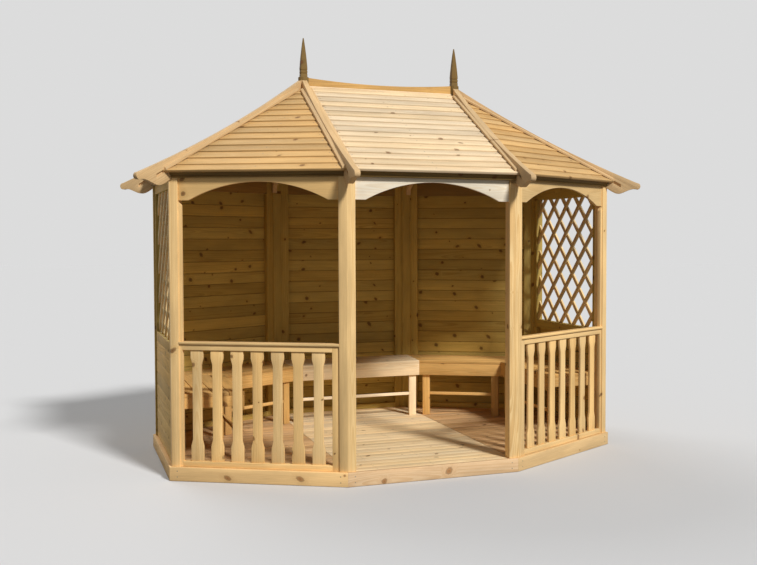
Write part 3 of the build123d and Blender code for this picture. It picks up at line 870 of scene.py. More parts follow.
@dataclass(frozen=True)
class Effects:
    """The node groups that the timber finishes share."""

    knots: Tree
    rings: Tree
    fibre: Tree
    edges: Tree

    @classmethod
    def make(cls) -> "Effects":
        """Build every group once."""
        return cls(effect("Knots", draw_knots, Seed=0.0, Size=0.013, Share=0.3),
                   effect("Growth rings", draw_rings, Seed=0.0, Bulge=0.0, Spacing=0.005),
                   effect("Fibre", draw_fibre, Seed=0.0),
                   effect("Edges", draw_edges, Span=(1.0, 1.0, 1.0)))


@dataclass(frozen=True)
class Softwood:
    """Treated softwood of one tone. Colours are screen colours from 0 to 255.

    Attributes:
        early: colour of the pale wood between the rings.
        late: colour of the ring lines.
        knot: colour inside a knot.
        ring_spacing: distance between rings.
        ring_share: how strongly the rings show.
        knot_share: share of possible places that hold a knot.
        knot_size: typical radius of a knot.
        spread: how much boards differ in tone.
        joint_shade: how dark the painted shade is where a board meets its neighbour.
        roughness: roughness of the pale wood.
        glossier_rings, duller_clouds: what these add to the roughness.
        relief: depth of its grain.
        bump: strength of its grain.
        ring_rise, crack_rise, knot_rise: how high these stand against the fibre.
        specular: strength of its reflection.
    """

    kind: str
    early: tuple[int, int, int]
    late: tuple[int, int, int]
    knot: tuple[int, int, int] = (116, 70, 34)
    ring_spacing: float = 0.0055
    ring_share: float = 0.75
    knot_share: float = 0.34
    knot_size: float = 0.012
    spread: float = 0.16
    joint_shade: float = 0.45
    roughness: float = 0.70
    glossier_rings: float = -0.10
    duller_clouds: float = 0.12
    relief: float = 0.0008
    bump: float = 0.45
    ring_rise: float = 0.35
    crack_rise: float = -1.2
    knot_rise: float = -0.8
    specular: float = 0.2

    def dress(self, effects: Effects) -> Material:
        """Make the material.

        Args:
            effects: the shared node groups.

        Returns:
            The finish.
        """
        material, sketch, shader = start_material(f"{self.kind}_wood")
        place, span = sketch.attribute("board_place"), sketch.attribute("board_span")
        seed = sketch.attribute("board_seed", "Fac")
        knots = sketch.group(effects.knots, Place=place, Seed=seed, Size=self.knot_size,
                             Share=self.knot_share)
        rings = sketch.group(effects.rings, Place=place, Seed=seed, Spacing=self.ring_spacing,
                             Bulge=knots["Bulge"])
        fibre = sketch.group(effects.fibre, Place=place, Seed=seed)
        edges = sketch.group(effects.edges, Place=place, Span=span)
        rough = sketch.line(rings["Late"], self.glossier_rings, self.roughness)
        height = fibre["Streak"]
        for mask, rise in ((rings["Late"], self.ring_rise), (fibre["Check"], self.crack_rise),
                           (knots["Rim"], self.knot_rise)):
            height = sketch.line(mask, rise, height)
        bump = sketch.node("Bump", {"Height": height, "Strength": self.bump,
                                    "Distance": self.relief})
        sketch.feed(shader, {"Base Color": self._colour(sketch, seed, knots, rings, fibre, edges),
                             "Roughness": sketch.line(fibre["Cloud"], self.duller_clouds, rough),
                             "Normal": bump.outputs["Normal"], "Specular IOR Level": self.specular})
        return material

    def _colour(self, sketch: Sketch, seed: Socket, knots: dict, rings: dict,
                fibre: dict, edges: dict) -> Socket:
        """Colour of the wood: rings, streaks, the board's own tone, knots, seams and wear."""
        early, late, knot = (srgb(*colour) for colour in (self.early, self.late, self.knot))
        other_seed, faintest = sketch.math("ADD", seed, 3.7), self.ring_share * 0.45
        light, warm, bold = sketch.chance(other_seed)
        share = sketch.times(rings["Late"], sketch.between(bold, faintest, self.ring_share),
                             sketch.ease(fibre["Streak"], 0.25, 0.75, 0.65, 1.0))
        colour = sketch.blend(share, early, late)
        tone = sketch.times(sketch.ease(fibre["Streak"], 0.25, 0.75, 0.90, 1.06),
                            sketch.ease(fibre["Cloud"], 0.3, 0.7, 0.90, 1.07),
                            sketch.between(light, 1 - self.spread, 1 + self.spread * 0.6))
        colour = sketch.blend(1.0, colour, sketch.join(tone, tone, tone), "MULTIPLY")
        warmth = sketch.join(sketch.between(warm, 0.97, 1.03), 1.0,
                             sketch.between(warm, 1.04, 0.92))
        colour = sketch.blend(1.0, colour, warmth, "MULTIPLY")
        for mask, weight, over in (
                (knots["Halo"], 0.30, late), (knots["Knot"], 0.72, knot),
                (knots["Heart"], 0.6, dimmed(knot, 0.4)), (knots["Rim"], 0.55, dimmed(knot, 0.4)),
                (fibre["Check"], 0.35, dimmed(late, 0.35)),
                # the joints' painted shade
                (edges["Seam"], self.joint_shade, dimmed(late, 0.45)),
                (edges["Wear"], 0.35, dimmed(early, 1.25))):
            colour = sketch.blend(sketch.times(mask, weight), colour, over)
        return colour


SOFTWOODS = (
    Softwood("golden_frame", (244, 205, 143), (214, 163, 94), knot_share=0.22, spread=0.10, joint_shade=0.06),
    Softwood("cream_frame", (250, 226, 188), (230, 194, 146), knot_share=0.2, spread=0.08, joint_shade=0.06),
    # inner wall tone, darker and more olive than cladding: the treated timber's tint together with
    # painted shade of the room
    Softwood("wall_board", (205, 176, 96), (167, 132, 60), (98, 58, 26), knot_share=0.7, spread=0.2,
             joint_shade=0.85),
    Softwood("middle_arch", (254, 238, 210), (240, 212, 172), knot_share=0.15, spread=0.06, joint_shade=0.05),
    Softwood("cladding", (226, 186, 116), (192, 147, 80), (118, 74, 36), knot_share=0.7, joint_shade=0.75),
    # darker tone for the walls' head rail: painted shade under the roof
    Softwood("head_rail", (160, 126, 70), (124, 90, 44)),
    Softwood("deck_end", (226, 184, 132), (192, 144, 92), joint_shade=0.55),
    Softwood("deck_middle", (255, 228, 182), (240, 200, 146), spread=0.12, joint_shade=0.40),
    # the end slopes' boards are darker than the middle ones: partly their own tone, partly painted shade
    Softwood("roof_end", (218, 178, 120), (186, 140, 82), knot_share=0.3, joint_shade=0.35),
    Softwood("roof_middle", (238, 214, 178), (210, 176, 132), knot_share=0.3, spread=0.12, joint_shade=0.35),
    Softwood("plinth_end", (236, 198, 142), (206, 158, 100), (160, 102, 54), knot_size=0.017, joint_shade=0.1),
    Softwood("plinth_middle", (242, 206, 162), (216, 170, 120), (168, 112, 58), knot_size=0.016,
             knot_share=0.5, joint_shade=0.1),
    Softwood("roof_trim", (230, 194, 144), (196, 153, 100), knot_share=0.25, joint_shade=0.1),
    # darker tone for the ridge board: painted shade
    Softwood("ridge", (196, 156, 96), (158, 116, 62), knot_share=0.25, joint_shade=0.1),
    # dark tone for the eaves rails: painted shade under the roof's edge
    Softwood("eaves", (142, 114, 64), (108, 80, 40), knot_share=0.2, joint_shade=0.1),
    # dark tone for the spires: painted shade
    Softwood("finial", (134, 106, 58), (98, 74, 36), knot_share=0.15, joint_shade=0.1),
    Softwood("lath", (240, 212, 160), (208, 170, 112), knot_share=0.1, joint_shade=0.0),
    Softwood("end_bench", (228, 182, 112), (196, 144, 74), knot_share=0.3, joint_shade=0.3),
)


@dataclass(frozen=True)
class Galvanised:
    """Zinc-coated nail heads, dulled by weather."""

    name: str = "galvanised_nail_heads"
    bright: Colour = srgb(150, 148, 142)
    dull: Colour = srgb(84, 78, 70)
    patch_scale: float = 210.0

    def dress(self) -> Material:
        """Make the material."""
        material, sketch, shader = start_material(self.name)
        place = sketch.node("NewGeometry", {}).outputs["Position"]
        patch = sketch.noise(place, self.patch_scale, 3.0)
        colour = sketch.blend(sketch.ease(patch, 0.35, 0.65), self.bright, self.dull)
        rough = sketch.ease(patch, 0.3, 0.7, 0.42, 0.75)
        sketch.feed(shader, {"Base Color": colour, "Roughness": rough, "Metallic": 0.8})
        return material


# Sub-assemblies

@dataclass(frozen=True)
class Coats:
    """What a sub-assembly wears: the two end modules, the middle module and the nails."""

    ends: Material
    middle: Material
    nails: Material

    @property
    def throughout(self) -> tuple[Material, Material, Material]:
        """Finishes for a piece that runs through every bay."""
        return self.ends, self.nails, self.middle

    def on(self, bay: Bay) -> tuple[Material, Material]:
        """Finishes for a piece that stands in one bay."""
        return (self.middle if bay.straight else self.ends, self.nails)


@dataclass
class SubAssembly:
    """Something built of timber around the plan."""

    plan: Plan
    coats: Coats
    draw: random.Random


@dataclass
class InBays(SubAssembly):
    """One piece in each bay of some kinds.

    Attributes:
        kinds: the kinds of bay that have it.
        piece, node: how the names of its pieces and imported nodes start.
        slot: the record's material slot.
        more: finishes beside those for the wood and the nails.
    """

    kinds: ClassVar[tuple[BayKind, ...]] = tuple(BayKind)
    piece: ClassVar[str]
    node: ClassVar[str]
    slot: ClassVar[str]
    more: tuple[Material, ...] = ()

    def build(self) -> None:
        """Make the pieces."""
        for bay in self.plan.of_kind(*self.kinds):
            timber = BayTimber(f"{self.piece}_{bay.name}", self.draw, bay)
            self.fill(timber, bay)
            timber.build((*self.coats.on(bay), *self.more), [f"{self.node}_{bay.name}"], self.slot)

    def fill(self, timber: BayTimber, bay: Bay) -> None:
        """Add what one bay holds."""
        raise NotImplementedError


@dataclass
class Plinth(SubAssembly):
    """Upright boards around the floor, mitred at the corners."""

    thickness: float = 0.038
    projection: float = 0.018
    nail_inset: float = 0.045
    nail_levels: Span = (0.3, 0.72)

    def build(self) -> None:
        """Make the ring of boards."""
        timber = Timber("plinth_boards", self.draw)
        outer = self.plan.outline(-self.projection)
        inner = self.plan.outline(-self.projection + self.thickness)
        for i, bay in enumerate(self.plan.bays):
            j = (i + 1) % len(outer)
            foot = [outer[i], outer[j], inner[j], inner[i]]
            head = [point + UP * self.plan.floor_z for point in foot]
            timber.coat = OTHER_WOOD if bay.straight else WOOD
            timber.bar(foot, head, bay.run, Arris.SOFT)
            for along in (self.nail_inset, bay.length - self.nail_inset):
                for share in self.nail_levels:
                    place = bay.at(along, -self.projection, self.plan.floor_z * share)
                    timber.nail(place, -bay.inwards)
        timber.build(self.coats.throughout, ["plinth"], "plinth_timber")


@dataclass
class Deck(SubAssembly):
    """Floor boards along the room in three modules, cut to the plinth."""

    inset: float = 0.020
    cover: float = 0.094
    thickness: float = 0.028
    gap: float = 0.0012
    module_joint: float = 0.585
    joist_spacing: float = 0.400
    last_joist_inset: float = 0.05
    nail_inset: float = 0.022
    nail_stray: float = 0.006
    unevenness: float = 0.0006

    def build(self) -> None:
        """Make the boards."""
        timber = Timber("floor_boards", self.draw)
        half_depth = self.plan.side - self.inset
        joint = self.module_joint + 2 * self.gap
        for row in range(math.ceil(2 * half_depth / self.cover)):
            low = -half_depth + row * self.cover + self.gap / 2
            high = min(-half_depth + (row + 1) * self.cover, half_depth) - self.gap / 2
            wide = [self.plan.width_at(self.inset, y) for y in (low, high)]
            timber.coat = OTHER_WOOD
            self.board(timber, (low, high), [(-self.module_joint, self.module_joint)] * 2)
            timber.coat = WOOD
            self.board(timber, (low, high), [(-w, -joint) for w in wide])
            self.board(timber, (low, high), [(joint, w) for w in wide])
            self.nails(timber, (low, high), min(wide))
        timber.build(self.coats.throughout, ["floor_deck"], "deck_boards")

    def board(self, timber: Timber, across: Span, reach: Section) -> None:
        """Add one board.

        Args:
            timber: the piece that it goes into.
            across: its two edges.
            reach: where it starts and ends, at each of the two edges.
        """
        top = self.plan.floor_z + self.draw.uniform(-self.unevenness, 0.0)
        section = rectangle(0, 1, self.plan.floor_z - self.thickness, top)
        ends = [[Vector((reach[edge][side], across[edge], level)) for edge, level in section]
                for side in (0, 1)]
        timber.bar(*ends, Vector((1, 0, 0)), Arris.DECK)

    def nails(self, timber: Timber, across: Span, half_width: float) -> None:
        """Add two nails over each joist."""
        count = int((half_width - self.last_joist_inset) / self.joist_spacing)
        for step in range(-count, count + 1):
            for y in (across[0] + self.nail_inset, across[1] - self.nail_inset):
                x = step * self.joist_spacing + self.draw.uniform(-self.nail_stray, self.nail_stray)
                timber.nail(Vector((x, y, self.plan.floor_z - self.unevenness)), UP)


@dataclass
class Panel(InBays):
    """Boards or sticks on a frame between two posts."""

    post_face: float = 0.058
    setback: float = 0.010
    board: float = 0.019
    cover: float = 0.0942
    top_joint: float = 1.923
    groove: float = 0.0035
    groove_spread: Span = (0.7, 1.2)
    scoop_height: float = 0.020
    scoop_depth: float = 0.0075
    scoop_turns: tuple[int, ...] = (0, 25, 50, 75)
    frame_depth: float = 0.040
    nail_inset: float = 0.030
    nail_rise: float = 0.024
    unevenness: float = 0.0006

    @property
    def back(self) -> float:
        """Depth of the boards' inner face."""
        return self.setback + self.board

    @property
    def far(self) -> float:
        """Depth of the frame's inner face."""
        return self.back + self.frame_depth

    def between_posts(self, bay: Bay, inset: float = 0.0) -> Span:
        """Where the panel starts and ends along the bay, or a place inside its ends."""
        return self.post_face + inset, bay.length - self.post_face - inset

    def under_roof(self, bay: Bay, near: float, low: float) -> Section:
        """Section of a rail whose upper edge follows the roof boards."""
        return [(near, low), (self.far, low), (self.far, bay.roof_under(self.far)),
                (near, bay.roof_under(near))]

    def joints(self, top: float) -> list[float]:
        """Levels of the joints between boards, from the floor up to a level."""
        count = int((self.top_joint - self.plan.floor_z) / self.cover)
        levels = [self.top_joint - step * self.cover for step in range(count, -1, -1)]
        return [self.plan.floor_z] + [level for level in levels if level < top] + [top]

    def boards(self, timber: BayTimber, bay: Bay, top: float | None) -> None:
        """Add the matched boards: the outer tone outside, and inside the darker wall tone that paints the
        room's shade.

        Args:
            timber: the piece that they go into.
            bay: the bay that they fill.
            top: level of their upper edge, or None up to the roof.
        """
        timber.unshaded_side = -bay.inwards
        levels = self.joints(top if top else bay.roof_under(self.setback))
        for low, high in zip(levels, levels[1:]):
            lean = 0.0 if top or high != levels[-1] else bay.roof_under(self.back) - high
            push = self.draw.uniform(-self.unevenness, self.unevenness)
            near, back = self.setback + push, self.back + push
            g = self.groove * self.draw.uniform(*self.groove_spread)
            whole = high - low > self.cover / 2
            section = [(near, low + g), (near + g, low), (back - g, low), (back, low + g),
                       (back, high + lean - g), (back - g, high + lean)]
            section += self.scoop(near, high) if whole else [(near, high)]
            timber.sweep(section, self.between_posts(bay), Arris.CRISP)
            if whole:
                for along in self.between_posts(bay, self.nail_inset):
                    for level in (low + self.nail_rise, high - self.nail_rise):
                        timber.nail(bay.at(along, near, level), -bay.inwards)

    def scoop(self, near: float, high: float) -> Section:
        """Hollow along the upper edge of a board's outer face, from the top down."""
        points = [(near + self.scoop_depth * (1 - math.sin(turn)),
                   high - self.scoop_height * (1 - math.cos(turn)))
                  for turn in map(math.radians, self.scoop_turns)]
        return points + [(near, high - self.scoop_height)]


@dataclass
class Walls(Panel):
    """Panels boarded all the way up."""

    kinds = (BayKind.WALL,)
    piece = "boarding"
    node = "wall"
    slot = "wall_boards"
    stile: float = 0.066
    head: float = 0.090
    foot: float = 0.042

    def fill(self, timber: BayTimber, bay: Bay) -> None:
        """Add the boards and the frame behind them."""
        self.boards(timber, bay, None)
        first, last = self.between_posts(bay)
        floor = self.plan.floor_z
        for start in (first, last - self.stile):
            timber.stand((start, start + self.stile), (self.back, self.far), floor)
        inner = self.between_posts(bay, self.stile)
        # the head rail takes the piece's other finish, a darker tone that paints the shade under the roof
        timber.coat = OTHER_WOOD
        timber.sweep(self.under_roof(bay, self.back, bay.roof_under(self.setback) - self.head), inner)
        timber.coat = WOOD
        timber.sweep(rectangle(self.back, self.far, floor, floor + self.foot), inner)


@dataclass
class LatticeSides(Panel):
    """Side panels: boards below a rail, crossed laths above it."""

    kinds = (BayKind.LATTICE,)
    piece = "lattice_panel"
    node = "lattice_side"
    slot = "lattice_timber"
    rail_z: float = 0.850
    rail: float = 0.070
    stile: float = 0.045
    head_z: float = 1.985
    lath: float = 0.035
    lath_thickness: float = 0.014
    lath_bite: float = 0.006
    pitch: float = 0.160

    def fill(self, timber: BayTimber, bay: Bay) -> None:
        """Add the boards, the frame and the laths."""
        self.boards(timber, bay, self.rail_z)
        first, last = self.between_posts(bay)
        for start in (first, last - self.stile):
            reach = (start, start + self.stile)
            timber.stand(reach, (self.setback, self.far), self.rail_z)
            timber.stand(reach, (self.back, self.far), self.plan.floor_z, self.rail_z)
        inner = self.between_posts(bay, self.stile)
        low = self.rail_z + self.rail
        timber.sweep(rectangle(self.setback, self.far, self.rail_z, low), inner)
        timber.sweep(self.under_roof(bay, self.setback, self.head_z), inner)
        timber.coat = OTHER_WOOD
        timber.unshaded_side = None
        self.laths(timber, bay, inner, (low, self.head_z))

    def laths(self, timber: BayTimber, bay: Bay, wide: Span, high: Span) -> None:
        """Add two layers of laths, cut to the opening."""
        middle = (self.setback + self.far) / 2
        centre = Vector((sum(wide) / 2, sum(high) / 2))
        size = Vector((wide[1] - wide[0], high[1] - high[0]))
        count = int((size.x + size.y) / (2 * self.pitch)) + 1
        limits = [(low - self.lath_bite, top + self.lath_bite) for low, top in (wide, high)]
        for sign, near in ((1, middle - self.lath_thickness), (-1, middle)):
            grain = Vector((1, sign)).normalized()
            across = Vector((-grain.y, grain.x))
            reach, half = grain * 2 * size.length, across * self.lath / 2
            for step in range(-count, count + 1):
                line = centre + across * step * self.pitch
                strip = [line - reach - half, line + reach - half, line + reach + half,
                         line - reach + half]
                cut = clip(strip, *limits)
                if len(cut) >= 3:
                    timber.face(cut, (near, near + self.lath_thickness),
                                bay.run * grain.x + UP * grain.y, Arris.FINE)


@dataclass
class Balustrades(Panel):
    """Handrail, rails, stiles and shaped slats."""

    kinds = (BayKind.RAILED,)
    piece = "railing"
    node = "balustrade"
    slot = "balustrade_timber"
    cap_z: float = 0.948
    cap_thickness: float = 0.020
    cap_width: float = 0.064
    cap_projection: float = 0.004
    rail_height: float = 0.039
    rail_thickness: float = 0.040
    stile: float = 0.050
    shoulder: float = 0.020
    stile_thickness: float = 0.030
    slat_count: int = 7
    slat_width: float = 0.088
    slat_waist: float = 0.064
    slat_thickness: float = 0.019
    slat_head: float = 0.075
    slat_foot: float = 0.125
    slat_shoulder: float = 0.045

    def fill(self, timber: BayTimber, bay: Bay) -> None:
        """Add one balustrade."""
        start, end = self.between_posts(bay)
        shouldered = bay.start.name == "left_front"
        first = start + (self.shoulder if shouldered else self.stile)
        last = end - (self.stile if shouldered else self.shoulder)
        floor, under = self.plan.floor_z, self.cap_z - self.cap_thickness
        timber.rail((start, end), -self.cap_projection, self.cap_width, under, self.cap_thickness,
                    Arris.HANDRAIL)
        for low in (floor, under - self.rail_height):
            timber.rail((first, last), self.setback, self.rail_thickness, low, self.rail_height)
        edge = last if shouldered else start
        timber.stand((edge, edge + self.stile), (self.setback, self.setback + self.stile_thickness),
                     floor, under, Arris.STICK)
        gap = (last - first - self.slat_count * self.slat_width) / (self.slat_count + 1)
        for step in range(self.slat_count):
            self.slat(timber, first + gap + self.slat_width / 2 + step * (self.slat_width + gap))

    def slat(self, timber: BayTimber, middle: float) -> None:
        """Add one slat, wide at its head and foot."""
        foot = self.plan.floor_z + self.rail_height
        head = self.cap_z - self.cap_thickness - self.rail_height
        wide, slim, slope = self.slat_width / 2, self.slat_waist / 2, self.slat_shoulder / 2
        right = [(wide, foot), (wide, foot + self.slat_foot - slope),
                 (slim, foot + self.slat_foot + slope), (slim, head - self.slat_head - slope),
                 (wide, head - self.slat_head + slope), (wide, head)]
        outline = [(middle + x, z) for x, z in right] + [(middle - x, z) for x, z in right[::-1]]
        near = self.setback + (self.rail_thickness - self.slat_thickness) / 2
        timber.face(outline, (near, near + self.slat_thickness), UP)


@dataclass
class Benches(Panel):
    """Seat along five sides, each section mitred to the next."""

    kinds = (BayKind.WALL, BayKind.LATTICE)
    piece = "seat"
    node = "bench"
    slot = "bench_timber"
    seat_z: float = 0.576
    shallow: float = 0.500
    deep: float = 0.545
    seat_thickness: float = 0.024
    seat_boards: int = 4
    gap: float = 0.004
    apron_height: float = 0.128
    apron_thickness: float = 0.024
    apron_shrink: float = 0.002
    leg_width: float = 0.063
    leg_thickness: float = 0.030
    leg_inset: float = 0.023
    stretcher_low: float = 0.178
    stretcher_height: float = 0.025
    stretcher_thickness: float = 0.020
    seat_nail_inset: float = 0.050
    square_end: float = 0.030
    end_board_share: float = 0.78

    def front(self, bay: Bay) -> float:
        """Depth of the section's front: the bench along the back is deeper."""
        return self.deep if bay.name == "back" else self.shallow

    def mitre(self, bay: Bay, corner: Corner, neighbour: Bay) -> float:
        """Distance along the bay from a corner to the place where two bench fronts meet."""
        turn = 2 * corner.half_turn
        return (self.front(neighbour) - self.front(bay) * math.cos(turn)) / math.sin(turn)

    def limits(self, bay: Bay, depth: float) -> Span:
        """Where the section starts and ends at a depth, along the bay."""
        bays = self.plan.bays
        index = bays.index(bay)
        share = depth / self.front(bay)
        start = share * self.mitre(bay, bay.start, bays[index - 1])
        end = bay.length - share * self.mitre(bay, bay.end, bays[(index + 1) % len(bays)])
        if bay.name == "right":
            start = self.square_end
        if bay.name == "left":
            end = bay.length - self.square_end
        return start, end

    def fill(self, timber: BayTimber, bay: Bay) -> None:
        """Add one section."""
        floor, under = self.plan.floor_z, self.seat_z - self.seat_thickness
        front = self.front(bay)
        width = (front - self.far + self.gap) / self.seat_boards
        for step in range(self.seat_boards):
            near = self.far + step * width
            self.plank(timber, bay, rectangle(near, near + width - self.gap, under, self.seat_z),
                       Arris.SOFT)
            middle = near + (width - self.gap) / 2
            start, end = self.limits(bay, middle)
            for along in (start + self.seat_nail_inset, end - self.seat_nail_inset):
                timber.nail(bay.at(along, middle, self.seat_z), UP)
        inner = front - self.apron_thickness
        self.plank(timber, bay, rectangle(inner, front - self.apron_shrink,
                                          self.seat_z - self.apron_height, under), Arris.PLANED)
        start, end = self.limits(bay, front)
        start += 0 if bay.name == "right" else self.leg_inset
        end -= 0 if bay.name == "left" else self.leg_inset
        behind = inner - self.leg_thickness
        for leg in (start, end - self.leg_width):
            timber.stand((leg, leg + self.leg_width), (behind, behind + self.leg_thickness), floor,
                         under, Arris.STICK)
        if bay.kind is BayKind.LATTICE:
            self.end_board(timber, bay, (self.far, behind), under)
        timber.rail((start + self.leg_width, end - self.leg_width),
                    inner - (self.leg_thickness + self.stretcher_thickness) / 2,
                    self.stretcher_thickness, floor + self.stretcher_low, self.stretcher_height)

    def plank(self, timber: BayTimber, bay: Bay, section: Section, rounding: float) -> None:
        """Add a board along the section with mitred ends."""
        ends = [[bay.at(self.limits(bay, d)[side], d, z) for d, z in section] for side in (0, 1)]
        timber.bar(*ends, bay.run, rounding)

    def end_board(self, timber: BayTimber, bay: Bay, deep: Span, top: float) -> None:
        """Add the board that closes the square end."""
        first = self.square_end
        if bay.name == "left":
            first = bay.length - self.square_end - self.apron_thickness
        low = self.seat_z - self.apron_height * self.end_board_share
        timber.face(rectangle(first, first + self.apron_thickness, low, top), deep, bay.inwards)


@dataclass
class Roof(InBays):
    """Courses of lapped boards on every slope."""

    piece = "roof_courses"
    node = "roof"
    slot = "roof_boards"
    cover: float = 0.0915
    lowest_cover: float = 0.083
    upper_edge: float = 0.0115
    nose: float = 0.005
    nose_turns: tuple[int, ...] = (30, 60, 90)
    groove: float = 0.003
    peak_gap: float = 0.045
    unevenness: float = 0.0012
    nail_inset: float = 0.055
    nail_share: float = 0.55

    def fill(self, timber: BayTimber, bay: Bay) -> None:
        """Add the courses of one slope."""
        gap = self.plan.roofing.hip_thickness / 2 if bay.straight else self.peak_gap
        length = (bay.reach + bay.overhang - gap) / math.cos(bay.pitch)
        low, high = 0.0, self.lowest_cover
        while low < length:
            self.course(timber, bay, low, min(high, length))
            low, high = high, high + self.cover

    def course(self, timber: BayTimber, bay: Bay, low: float, high: float) -> None:
        """Add one board.

        Args:
            timber: the piece that it goes into.
            bay: the bay under the slope.
            low, high: where it starts and ends, up the slope from the eaves.
        """
        full = self.plan.roofing.board
        thick = full - self.draw.uniform(0.0, self.unevenness)
        fall = (thick - self.upper_edge) * (high - low) / self.cover
        section = [(low, self.groove), (low, thick - self.nose)]
        for turn in map(math.radians, self.nose_turns):
            section.append((low + self.nose * (1 - math.cos(turn)),
                            thick - self.nose * (1 - math.sin(turn))))
        section += [(high, thick - fall), (high, self.groove), (high - self.groove, 0.0),
                    (low + self.groove, 0.0)]
        ends = [[], []]
        for up, out in section:
            depth, level = bay.on_roof(up, out - full)
            for end, along in zip(ends, bay.between_hips(depth)):
                end.append(bay.at(along, depth, level))
        timber.bar(*ends, bay.run, Arris.CRISP)
        if high - low < self.cover / 2:
            return
        depth, level = bay.on_roof(low + (high - low) * self.nail_share,
                                   thick - fall * self.nail_share - full)
        first, last = bay.between_hips(depth)
        outwards = UP * math.cos(bay.pitch) - bay.inwards * math.sin(bay.pitch)
        for along in (first + self.nail_inset, (first + last) / 2, last - self.nail_inset):
            timber.nail(bay.at(along, depth, level), outwards)


def adopt(draw: random.Random, piece: str, node: str, slot: str, *finishes: Material,
          outside: Vector | None = None) -> None:
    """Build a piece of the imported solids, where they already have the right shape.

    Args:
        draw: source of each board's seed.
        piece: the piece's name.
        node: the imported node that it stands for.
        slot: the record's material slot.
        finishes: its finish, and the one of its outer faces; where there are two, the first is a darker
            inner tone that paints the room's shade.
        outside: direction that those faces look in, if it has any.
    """
    timber = Timber(piece, draw)
    timber.unshaded_side = outside
    timber.unshaded_coat = len(finishes) - 1
    timber.adopt(node, Arris.PLANED)
    timber.build(finishes, [node], slot)


# Studio

@dataclass(frozen=True)
class Lamp:
    """A far, soft lamp.

    Attributes:
        bearing: degrees from the front, towards the right.
        height: degrees above the floor.
        width: how many degrees of the sky it takes up.
        level: how bright it makes a white surface that faces it.
        distance: where it hangs; its light doesn't depend on this.
    """

    name: str
    bearing: float
    height: float
    width: float
    level: float
    distance: float = 12.0

    @property
    def towards(self) -> Vector:
        """Direction from the object to the lamp."""
        turn, lift = math.radians(self.bearing), math.radians(self.height)
        return Vector((math.sin(turn) * math.cos(lift), -math.cos(turn) * math.cos(lift), math.sin(lift)))

    def hang(self) -> None:
        """Put the lamp up."""
        data = bpy.data.lights.new(self.name, "SUN")
        data.angle = math.radians(self.width)
        data.energy = self.level * math.pi
        lamp = show(self.name, data)
        lamp.location = self.towards * self.distance
        lamp.rotation_euler = (-self.towards).to_track_quat("-Z", "Y").to_euler()


@dataclass(frozen=True)
class Studio:
    """Pale floor, soft lamps and the camera at the photograph's angle.

    Attributes:
        ambient: light from all round.
        floor_seen: tone of the floor to the camera.
        floor_tone: tone of the floor to the light that it throws back.
    """

    lamps: tuple[Lamp, ...] = (Lamp("key", 17.5, 37.0, 9.0, 1.02), Lamp("back", 197.0, 36.0, 40.0, 0.36))
    ambient: float = 0.26
    floor_seen: float = 0.66
    floor_tone: float = 0.16
    floor_radius: float = 60.0
    floor_level: float = -0.001
    floor_points: int = 60
    camera_at: tuple[float, float, float] = (-2.384, -7.697, 1.642)
    yaw: float = 21.51
    pitch: float = -2.389
    focal_pixels: float = 1015.6
    centre_pixel: Span = (457.6, 281.15)
    frame_pixels: tuple[int, int] = (757, 565)
    sensor: float = 36.0

    def build(self) -> None:
        """Set up the floor, the world, the lamps and the camera."""
        self.floor()
        self.world()
        for lamp in self.lamps:
            lamp.hang()
        self.camera()
        bpy.context.scene.view_settings.view_transform = "Standard"

    @property
    def backdrop(self) -> float:
        """Tone behind the object: that of the bare floor under the lamps."""
        return self.floor_seen * (self.ambient + sum(lamp.level * lamp.towards.z for lamp in self.lamps))

    @staticmethod
    def seen(sketch: Sketch, dim: float, bright: float) -> Socket:
        """A grey that is bright where it is looked at and dim where it only gives light."""
        path = sketch.node("LightPath", {}).outputs
        looked = sketch.math("MAXIMUM", path["Is Glossy Ray"], path["Is Transmission Ray"])
        looked = sketch.math("MAXIMUM", path["Is Camera Ray"], looked)
        return sketch.blend(looked, (dim, dim, dim), (bright, bright, bright))

    def floor(self) -> None:
        """Lay a plain disc that fades into the background."""
        mesh = bpy.data.meshes.new("studio_floor")
        around = [math.tau * step / self.floor_points for step in range(self.floor_points)]
        points = [(self.floor_radius * math.cos(a), self.floor_radius * math.sin(a), self.floor_level)
                  for a in around]
        mesh.from_pydata(points, [], [list(range(len(points)))])
        material, sketch, shader = start_material("studio_floor")
        tone = self.seen(sketch, self.floor_tone, self.floor_seen)
        sketch.feed(shader, {"Base Color": tone, "Specular IOR Level": 0.0})
        mesh.materials.append(material)
        floor = show("studio_floor", mesh)

    def world(self) -> None:
        """Light everything softly from all round, before a pale backdrop."""
        world = bpy.data.worlds.new("studio")
        world.use_nodes = True
        sketch = Sketch(world.node_tree)
        sketch.feed(world.node_tree.nodes["Background"],
                    {"Color": self.seen(sketch, self.ambient, self.backdrop)})
        bpy.context.scene.world = world

    def camera(self) -> None:
        """Place the camera."""
        wide, high = self.frame_pixels
        data = bpy.data.cameras.new("camera")
        data.sensor_width = self.sensor
        data.lens = self.focal_pixels / wide * self.sensor
        data.shift_x = (wide / 2 - self.centre_pixel[0]) / wide
        data.shift_y = (self.centre_pixel[1] - high / 2) / wide
        camera = show("camera", data)
        camera.location = self.camera_at
        camera.rotation_euler = (math.radians(90 + self.pitch), 0, math.radians(-self.yaw))
        bpy.context.scene.camera = camera


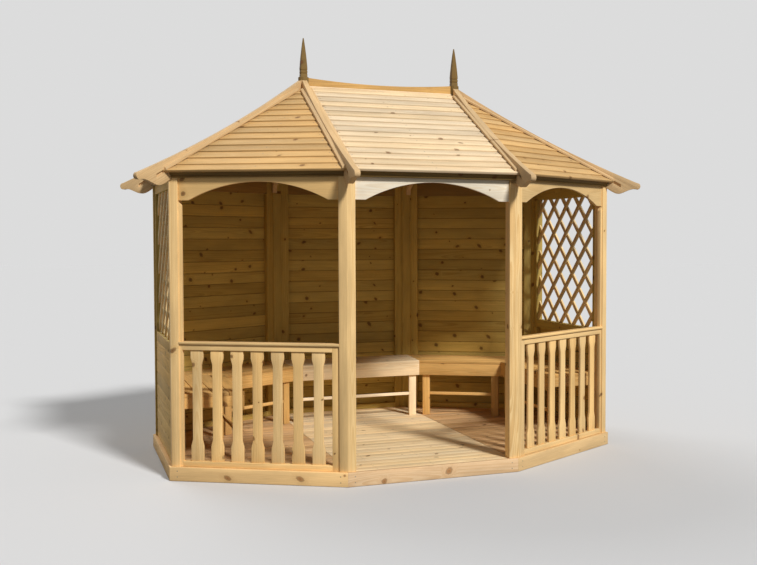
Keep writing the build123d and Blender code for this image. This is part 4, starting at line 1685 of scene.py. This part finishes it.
def main() -> None:
    """Build every sub-assembly in order and note the sizes."""
    logging.basicConfig(level=logging.INFO, format="%(message)s")
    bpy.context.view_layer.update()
    plan = Plan.from_frame()
    effects = Effects.make()
    draw = random.Random(SEED)
    nails = Galvanised().dress()
    wood = {softwood.kind: softwood.dress(effects) for softwood in SOFTWOODS}
    frame_coats = Coats(wood["golden_frame"], wood["cream_frame"], nails)
    # walls and lattice sides wear the inner wall tone, painted shade, with cladding on their outer faces
    wall_coats = Coats(wood["wall_board"], wood["wall_board"], nails)
    Plinth(plan, Coats(wood["plinth_end"], wood["plinth_middle"], nails), draw).build()
    Deck(plan, Coats(wood["deck_end"], wood["deck_middle"], nails), draw).build()
    adopt(draw, "joists", "floor_joists", "plinth_timber", wood["golden_frame"])
    for corner in plan.corners:
        post = (f"corner_post_{corner.name}", f"post_{corner.name}", "frame_timber")
        # back posts wear the inner wall tone, painted shade, with cladding on their outer faces
        if corner.outwards.y < 0:
            adopt(draw, *post, wood["golden_frame"])
        else:
            adopt(draw, *post, wood["wall_board"], wood["cladding"], outside=corner.outwards)
    Walls(plan, wall_coats, draw, (wood["head_rail"], wood["cladding"])).build()
    LatticeSides(plan, wall_coats, draw, (wood["lath"], wood["cladding"])).build()
    for name, kind in (("front_left", "golden_frame"), ("front_right", "golden_frame"),
                       ("front", "middle_arch")):
        adopt(draw, f"arch_{name}", f"arch_board_{name}", "frame_timber", wood[kind])
    Balustrades(plan, frame_coats, draw).build()
    Benches(plan, Coats(wood["end_bench"], wood["cream_frame"], nails), draw).build()
    Roof(plan, Coats(wood["roof_end"], wood["roof_middle"], nails), draw).build()
    for corner in plan.corners:
        adopt(draw, f"hip_{corner.name}", f"hip_board_{corner.name}", "roof_trim", wood["roof_trim"])
    # the ridge, the eaves rails and the spires wear darker tones that are painted shade
    for piece, node, slot, kind in (("ridge", "ridge_board", "roof_trim", "ridge"),
                                    ("eaves_trim", "eaves_rails", "roof_trim", "eaves"),
                                    ("spires", "finials", "finial_timber", "finial")):
        adopt(draw, piece, node, slot, wood[kind])
    Studio().build()


if __name__ == "__main__":
    main()
